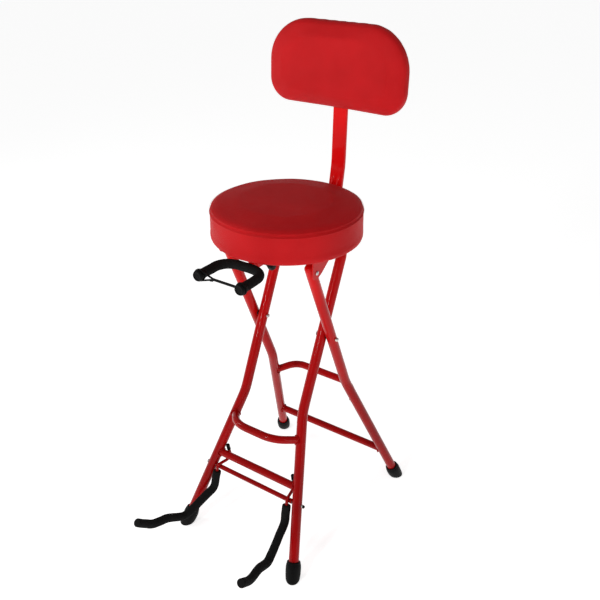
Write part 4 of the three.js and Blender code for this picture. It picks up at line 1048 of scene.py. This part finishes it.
pad = {"centre": (0.0, 160.0, 993.0), "lean": math.radians(2), "halfWidth": 158.5, "halfHeight": 85.5,
       "half": 16.0, "topRadius": 86.0, "bottomRadius": 49.0, "arch": 3.5, "hollow": 4.0, "pressure": 3.0,
       "cap": 4.0, "step": 4.0, "board": 14.7, "boardDepth": 10.4, "hemInner": 42.0, "pleats": 38,
       "pleatDepth": 0.35, "pleatsAt": 13.0, "pleatsHalf": 6.0, "unevenness": 0.3, "edgeFrom": -10.0,
       "frontFrom": -12.0, "frontRings": 16, "belly": 0.8, "pleatSpread": (158.0, 85.0), "pleatRise": 2.2}
# Inset, depth from the pad's back and shrink of the recess round the board and
# of the hem, then inset and depth of the outer line over the edge to the front
padRecess = [(pad["board"], -pad["boardDepth"], shrink) for shrink in (0.6, 0.3, 0)]
padRecess += [(pad["board"], 0.02, 0), (30.0, 0.03, 0), (pad["hemInner"], 0.03, 0),
              (pad["hemInner"], 0.5, 0), (30.0, 0.55, 0), (18.0, 0.45, 0)]
padLine = [(11.0, 15.9), (5.0, 14.6), (1.6, 11.4), (0.4, 6.5), (0.4, 1.0), (1.6, -4.6), (6.0, -9.2),
           (14.0, -12.6), (25.0, -14.6), (36.0, -15.4)]


def padPlace(x, y, z):
    turn, centre = pad["lean"], pad["centre"]
    return np.stack([centre[0] + x, centre[1] + y * math.cos(turn) + z * math.sin(turn),
                     centre[2] - y * math.sin(turn) + z * math.cos(turn)], -1)


# The pad's ring at an inset from its outline and a depth before the hollow: four arcs and four straights,
# arched a little and hollowed across, then leaned back and put in its place
def padRing(inset, depth, shrink=0.0):
    arcs = []
    for quarter, (sideX, sideZ) in enumerate(quarters):
        radius = pad["topRadius"] if sideZ > 0 else pad["bottomRadius"]
        angle = np.linspace(0, math.pi / 2, 15) + quarter * math.pi / 2
        x = sideX * (pad["halfWidth"] - radius) + (radius - inset) * np.cos(angle)
        z = sideZ * (pad["halfHeight"] - radius) + (radius - inset) * np.sin(angle)
        arcs.append(np.stack([x, z], -1))
    outline = []
    for quarter, arc in enumerate(arcs):
        following = arcs[(quarter + 1) % 4][0]
        outline += [arc, np.linspace(arc[-1], following, 5 if quarter % 2 else 14)[1:-1]]
    x, z = (np.concatenate(outline) * (1 - shrink)).T
    across = x / pad["halfWidth"]
    lift = -pad["arch"] * (z / pad["halfHeight"]) * across ** 2
    return padPlace(x, depth - pad["hollow"] * across ** 2, z + lift)


# The pad: rings from the recess over the hem and the edge to the front, closed
# by shrinking rings and filled with air. Then the edge gathers in fine pleats
# under a bell curve of the depth, and the front moves by a product of waves
def backrestPad():
    rings = [padRing(inset, pad["half"] + depth, shrink) for inset, depth, shrink in padRecess]
    rings += [padRing(inset, depth) for inset, depth in smoothLine(padLine, pad["step"])]
    endInset, endDepth = padLine[-1]
    for shrink in np.linspace(0.06, 0.96, pad["frontRings"]):
        rings.append(padRing(endInset, endDepth - pad["belly"] * (1 - (1 - shrink) ** 2), shrink))
    rows = np.array(rings)
    piece = makePiece("backrest_pad_vinyl", shell(rows), "red_vinyl", "seat", "backrest_pad", sharpAngle=60)
    held = np.zeros(len(piece.data.vertices))
    held[:(len(padRecess) + 1) * rows.shape[1]] = 1.0
    held[rows.shape[0] * rows.shape[1]] = 1.0  # the recess's middle point
    inflate(piece, held, pad["pressure"], pad["cap"])
    subdivided(piece)
    points = readPoints(piece)
    x, z = points[:, 0], points[:, 2] - pad["centre"][2]
    depth = points[:, 1] - pad["centre"][1] - z * math.sin(pad["lean"])
    spreadX, spreadZ = pad["pleatSpread"]
    angle = np.arctan2(z / spreadZ, x / spreadX)
    tension = pad["pleatDepth"] * np.sin(pad["pleats"] * angle + 2 * np.sin(4 * angle))
    tension *= bell(depth - pad["pleatsAt"], pad["pleatsHalf"])
    outward = np.stack([x, np.zeros_like(x), z * pad["pleatRise"]], -1)
    outward /= np.maximum(np.linalg.norm(outward, axis=1, keepdims=True), 1)
    points += np.where((depth > pad["edgeFrom"]) & (depth < pad["pleatsAt"]), tension, 0)[:, None] * outward
    uneven = pad["unevenness"] * np.sin(x / 41 + 0.7) * np.cos(z / 23)
    points[:, 1] += np.where(depth < pad["frontFrom"], uneven, 0)
    writePoints(piece, points)


backrestPad()
print("cushion and backrest pad made")

staple = {"half": 5.0, "wire": 0.55, "lift": 0.5, "turnIn": 4.4, "seatCount": 44, "seatReach": 121.0,
          "seatHeight": 693.75, "padInset": 34.0, "padLift": 0.55, "padStep": 3, "clearOfPost": 24.0,
          "straight": 0.8, "angleSpread": 0.04, "reachSpread": 2.0, "tiltSpread": 0.2,
          "clearOfBrackets": (0.62, 0.86)}


# Staples: short wires laid flat, each a small tube with its ends turned in
def staples(name, middles, ways, normal):
    share = np.linspace(-1, 1, 9)
    lift = staple["lift"] - staple["turnIn"] * np.clip(np.abs(share) - staple["straight"], 0, 1)[:, None]
    size = staple["wire"] * np.where(np.abs(share) == 1, 0.5, 1.0)
    wires = []
    for middle, way in zip(middles, ways):
        line = middle + staple["half"] * share[:, None] * way + lift * normal
        ring = spun(around(columns["staple"]), normal, np.cross(way, normal))
        wires.append(shell(line[:, None] + size[:, None, None] * ring))
    makePiece(name, wires, "zinc", "seat")


# The seat's staples sit in an uneven ring, left out where brackets and post lie
def seatStaples():
    count, (frontBack, leftRight) = staple["seatCount"], staple["clearOfBrackets"]
    angle = around(count) + staple["angleSpread"] * rng.standard_normal(count)
    angle = angle[(np.abs(np.sin(angle)) > frontBack) | (np.abs(np.cos(angle)) > leftRight)]
    reach = staple["seatReach"] + staple["reachSpread"] * rng.standard_normal(len(angle))
    tilt = angle + math.pi / 2 + staple["tiltSpread"] * rng.standard_normal(len(angle))
    middle = np.array([0, seat["centre"], staple["seatHeight"]])
    middles = reach[:, None] * spun(angle, sideways, backwards) + middle
    staples("seat_staples", middles, spun(tilt, sideways, backwards), -upwards)


def padStaples():
    ring = padRing(staple["padInset"], pad["half"] + staple["padLift"])
    pick = np.arange(2, len(ring), staple["padStep"])
    pick = pick[np.abs(ring[pick, 0]) > staple["clearOfPost"]]
    ways = np.roll(ring, -1, 0)[pick] - ring[pick]
    ways = ways / np.linalg.norm(ways, axis=1, keepdims=True)
    staples("pad_staples", ring[pick], ways, np.array([0, math.cos(pad["lean"]), -math.sin(pad["lean"])]))


seatStaples()
padStaples()

post = {"width": 32.0, "thickness": 9.0, "edge": 2.4, "endEdge": 1.5, "under": 689.2, "front": 8.0,
        "foot": (166.0, 748.0), "bend": 24.0, "neckRadius": 200.0, "behind": 20.8, "neckBelow": 203.0,
        "above": 32.0, "ribAt": 178.0, "ribHalf": 42.0, "ribLift": 1.9, "ribOff": 6.8, "ribWidth": 2.3,
        "boltAt": (20.0, 54.0), "boltShank": 18.0, "screwAt": (-46.0, 10.0), "screwShank": 14.0}


# The post: a flat bar's rounded section carried from under the board up behind the pad, with two ribs
# pressed out of its front over the bend, each a bell curve across times a smooth window along
def backrestPost():
    neck = padPlace(0, post["behind"], -post["neckBelow"])
    footY, footZ = post["foot"]
    heel = footY - (neck[1] - footY) / (neck[2] - footZ) * (footZ - post["under"])
    corners = [(0, post["front"], post["under"]), (0, heel, post["under"]), neck,
               padPlace(0, post["behind"], post["above"])]
    path = bend(corners, [post["bend"], post["neckRadius"]])
    cornerX, cornerY = post["width"] / 2 - post["edge"], post["thickness"] / 2 - post["edge"]
    flat = []
    for quarter, (sideX, sideY) in enumerate(quarters):
        turn = math.pi / 2 * quarter + np.linspace(0, math.pi / 2, 7)
        middle = np.array([sideX * cornerX, sideY * cornerY])
        flat.append(middle + post["edge"] * spun(turn, *np.eye(2)))
        if quarter % 2 == 0:
            face = np.linspace(middle[0], -middle[0], 26)[1:-1]
            flat.append(np.stack([face, np.full_like(face, flat[-1][-1, 1])], -1))
    flat = np.concatenate(flat)

    def outline(places):
        across, up = steady(*flat.T)(places)
        window = np.clip(3 - np.abs(places[:, None] - post["ribAt"]) / post["ribHalf"] * 3, 0, 1)
        window = window ** 2 * (3 - 2 * window)
        rib = post["ribLift"] * window * bell(np.abs(across) - post["ribOff"], post["ribWidth"])
        return across, up - np.where(up < 0, rib, 0)

    bar = swept(path, (1, 0, 0), outline, post["endEdge"])
    makePiece("backrest_post_bar", bar, "red_paint", "seat", "backrest_post")


# A folded sheet: one parameter runs over the plate, round the fold and down the flange, the other from the
# front edge to the rear one, whose places depend on the height, and the sheet's thickness is laid inwards
def hingeBracketSheet(word, sign):
    outer, r = bracket["outer"], bracket["bendRadius"]
    top, low = fixings["underSeat"], frames["hinge"] - bracket["drop"]
    plate, flange, deep = 11, 26, 26
    turn = np.linspace(0, math.pi / 2, 9)
    across = np.concatenate([np.linspace(bracket["inner"], outer - r, plate + 1)[:-1],
                             outer - r + r * np.sin(turn), np.full(flange, outer)])
    height = np.concatenate([np.full(plate, top), top - r + r * np.cos(turn),
                             np.linspace(top - r, low, flange + 1)[1:]])
    outX = np.concatenate([np.zeros(plate), np.sin(turn), np.ones(flange)])
    outZ = np.concatenate([np.ones(plate), np.cos(turn), np.zeros(flange)])
    below = np.clip((frames["hinge"] - height) / bracket["drop"], 0, 1)
    frontEdge = -bracket["front"] * np.sqrt(np.clip(1 - below ** 2, 0, 1))
    rearEdge = np.interp(height, [low, frames["hinge"] - bracket["drop"] / 2, top - 3, top],
                         [1.0, bracket["heel"], bracket["rear"], bracket["rear"]])
    share = np.linspace(0, 1, deep)
    share = share - 0.02 * np.sin(2 * math.pi * share)
    y = onFrame("rear", 0, frames["hinge"])[1] + frontEdge[:, None]
    y = y + (rearEdge - frontEdge)[:, None] * share
    outside = np.stack(np.broadcast_arrays(sign * across[:, None], y, height[:, None]), -1)
    inside = outside - bracket["sheet"] * np.stack([sign * outX, np.zeros_like(outX), outZ], -1)[:, None]
    sheet = shell(np.concatenate([outside, inside[:, ::-1]], axis=1))
    makePiece(f"hinge_bracket_{word}_sheet", sheet, "red_paint", "seat", f"hinge_bracket_{word}",
              sharpAngle=50)


guide = {"front": -128.0, "length": 44.0, "half": 11.0, "ear": 15.0, "earThick": 4.0, "floor": 5.0,
         "fillet": 1.2, "knobAt": -117.0, "knobStart": 31.0, "knobLength": 12.0, "knobRadius": 8.5,
         "lobes": 6, "lobeDepth": 0.07, "lobeFrom": 6.0, "screwOff": 18.0, "screwShank": 9.0}
# How far the block's ends are tucked in, and how far from its ends
tucks = ((0.0, 1.0), (0.35, 0.35), (1.0, 0.0))


# The guide block: a rounded outline of across and height carried forward to back, tucked in at both ends
def guideBlock():
    top, half, outer = fixings["underSeat"], guide["half"], guide["half"] + guide["ear"]
    bottom, under = yoke["height"] - yoke["rod"] - guide["floor"], top - guide["earThick"]
    spots = [(-outer, top), (-outer, under), (-half, under), (-half, bottom)]
    spots += [(-x, z) for x, z in reversed(spots)]
    spots = [(0, top), *spots, (0, top)]
    flat = bend([(x, z, 0) for x, z in spots], [guide["fillet"]] * (len(spots) - 2), 0.3)[:-1, :2]
    depth = [place for place, tuck in tucks] + [*np.linspace(2, guide["length"] - 2, 8)]
    depth += [guide["length"] - place for place, tuck in reversed(tucks)]
    inset = [tuck for place, tuck in tucks] + [0] * 8 + [tuck for place, tuck in reversed(tucks)]
    centre = flat.mean(0)
    away = flat - centre
    size = np.linalg.norm(away, axis=1)
    edge = centre + away * (1 - np.array(inset)[:, None] / size)[..., None]
    y = np.repeat(guide["front"] + np.array(depth)[:, None], len(flat), 1)
    block = shell(np.stack([edge[..., 0], y, edge[..., 1]], -1))
    makePiece("yoke_guide_block", block, "red_paint", "seat", "yoke_guide", sharpAngle=50)


# A hand knob with six soft lobes: the circle's radius gains a cosine of six times the angle towards the rim
def handKnob():
    tip = yoke["rod"] + fixings["gap"]
    base, long, radius = guide["knobStart"] - tip, guide["knobLength"], guide["knobRadius"]
    profile = eased([(0.1, 0), (2.5, 0), (2.5, base - 3), (5.2, base - 3), (5.6, base), (radius, base + 2),
                     (radius, base + long - 3), (radius * 0.8, base + long), (0.1, base + long)], 1.4)

    def lobes(spread, height, turn):
        wave = (1 - np.cos(guide["lobes"] * turn)) / 2
        return spread * (1 - guide["lobeDepth"] * wave * (spread > guide["lobeFrom"]))

    knob = turned(profile, (tip, guide["knobAt"], yoke["height"]), (1, 0, 0), columns["knob"], lobes)
    makePiece("yoke_knob_grip", knob, "black_plastic", "seat", "yoke_knob")


# Every screw under the seat points down, and the pad's screws point back
def seatScrews():
    down, back = -upwards, padPlace(0, 1, 0) - padPlace(0, 0, 0)
    face = fixings["underSeat"]
    guideY = guide["front"] + guide["length"] / 2
    bracketX = bracket["inner"] + bracket["screwIn"]
    bracketY = onFrame("rear", 0, frames["hinge"])[1] + bracket["screwBehind"]
    screws = []
    for word, sign in bothSides:
        onBracket = (sign * bracketX, bracketY, face - bracket["sheet"])
        onGuide = (sign * guide["screwOff"], guideY, face - guide["earThick"])
        screws.append((f"bracket_screw_{word}", onBracket, down, guide["screwShank"]))
        screws.append((f"guide_screw_{word}", onGuide, down, guide["screwShank"]))
    for index, y in enumerate(post["boltAt"], 1):
        screws.append((f"post_bolt_{index}", (0, y, face - post["thickness"]), down, post["boltShank"]))
    behind = pad["half"] + fixings["gap"] + post["thickness"]
    for index, z in enumerate(post["screwAt"], 1):
        screws.append((f"pad_screw_{index}", padPlace(0, behind, z), back, post["screwShank"]))
    for name, spot, way, length in screws:
        makePiece(f"{name}_head", screwHead(spot, way, length), "zinc", "seat", name)


backrestPost()
for word, sign in bothSides:
    hingeBracketSheet(word, sign)
guideBlock()
handKnob()
seatScrews()
for name, finish in (("seat_board", "plywood"), ("backrest_board", "plywood"),
                     ("tube_saddle_left", "black_plastic"), ("tube_saddle_right", "black_plastic")):
    nodes[name].data.materials.clear()
    nodes[name].data.materials.append(finishes[finish])
print("post, brackets, guide and screws made")

# Studio: a pale floor, a pale surround and soft lights, each with its place, aim, size and power
studio = {
    "floor": 0.85, "glow": 0.7, "surround": 0.3, "reach": 24,
    "key_light": ((-0.2, -2.3, 1.6), (0, 0, 0.95), (0.3, 1.2), 26.0),
    "fill_light": ((2.7, -0.9, 1.1), (0, 0, 0.5), (0.3, 1.8), 6.0),
    "side_light": ((-2.2, -0.6, 1.5), (0, 0, 0.8), (0.3, 1.3), 11.0),
}
# The photograph's view: millimetres and degrees
view = {"place": (812.0, -1146.7, 1291.5), "down": 28.21, "turn": 34.60, "lens": 45.37, "sensor": 36}


def floorPlane():
    mesh = bpy.data.meshes.new("studio_floor")
    reach = studio["reach"]
    mesh.from_pydata([(reach * x, reach * y, 0) for x, y in quarters], [], [(0, 1, 2, 3)])
    floor = linked("studio_floor", mesh)
    paper = Finish("studio_paper")
    paper.set(Base_Color=grey(studio["floor"]), Roughness=0.9, Specular_IOR_Level=0.1,
              Emission_Color=grey(1.0), Emission_Strength=studio["glow"])
    mesh.materials.append(paper.material)


def softLight(name):
    place, aim, size, power = studio[name]
    lamp = bpy.data.lights.new(name, "AREA")
    lamp.shape = "RECTANGLE"
    lamp.size, lamp.size_y = size
    lamp.energy = power
    holder = linked(name, lamp)
    holder.location = place
    way = np.array(aim, float) - np.array(place, float)
    tilt = math.atan2(math.hypot(way[0], way[1]), -way[2])
    holder.rotation_euler = (tilt, 0, math.atan2(-way[0], way[1]))


def cameraAtPhoto():
    lens = bpy.data.cameras.new("photo_camera")
    lens.lens = view["lens"]
    lens.sensor_width = view["sensor"]
    camera = linked("photo_camera", lens)
    camera.location = np.array(view["place"]) * millimetre + pivotPlace
    camera.rotation_euler = (math.radians(90 - view["down"]), 0, math.radians(view["turn"]))
    bpy.context.scene.camera = camera


floorPlane()
for name in ("key_light", "fill_light", "side_light"):
    softLight(name)
world = bpy.data.worlds.new("studio")
world.use_nodes = True
world.node_tree.nodes["Background"].inputs["Color"].default_value = grey(1.0)
world.node_tree.nodes["Background"].inputs["Strength"].default_value = studio["surround"]
bpy.context.scene.world = world
bpy.context.scene.view_settings.view_transform = "Standard"
cameraAtPhoto()
print("studio made")
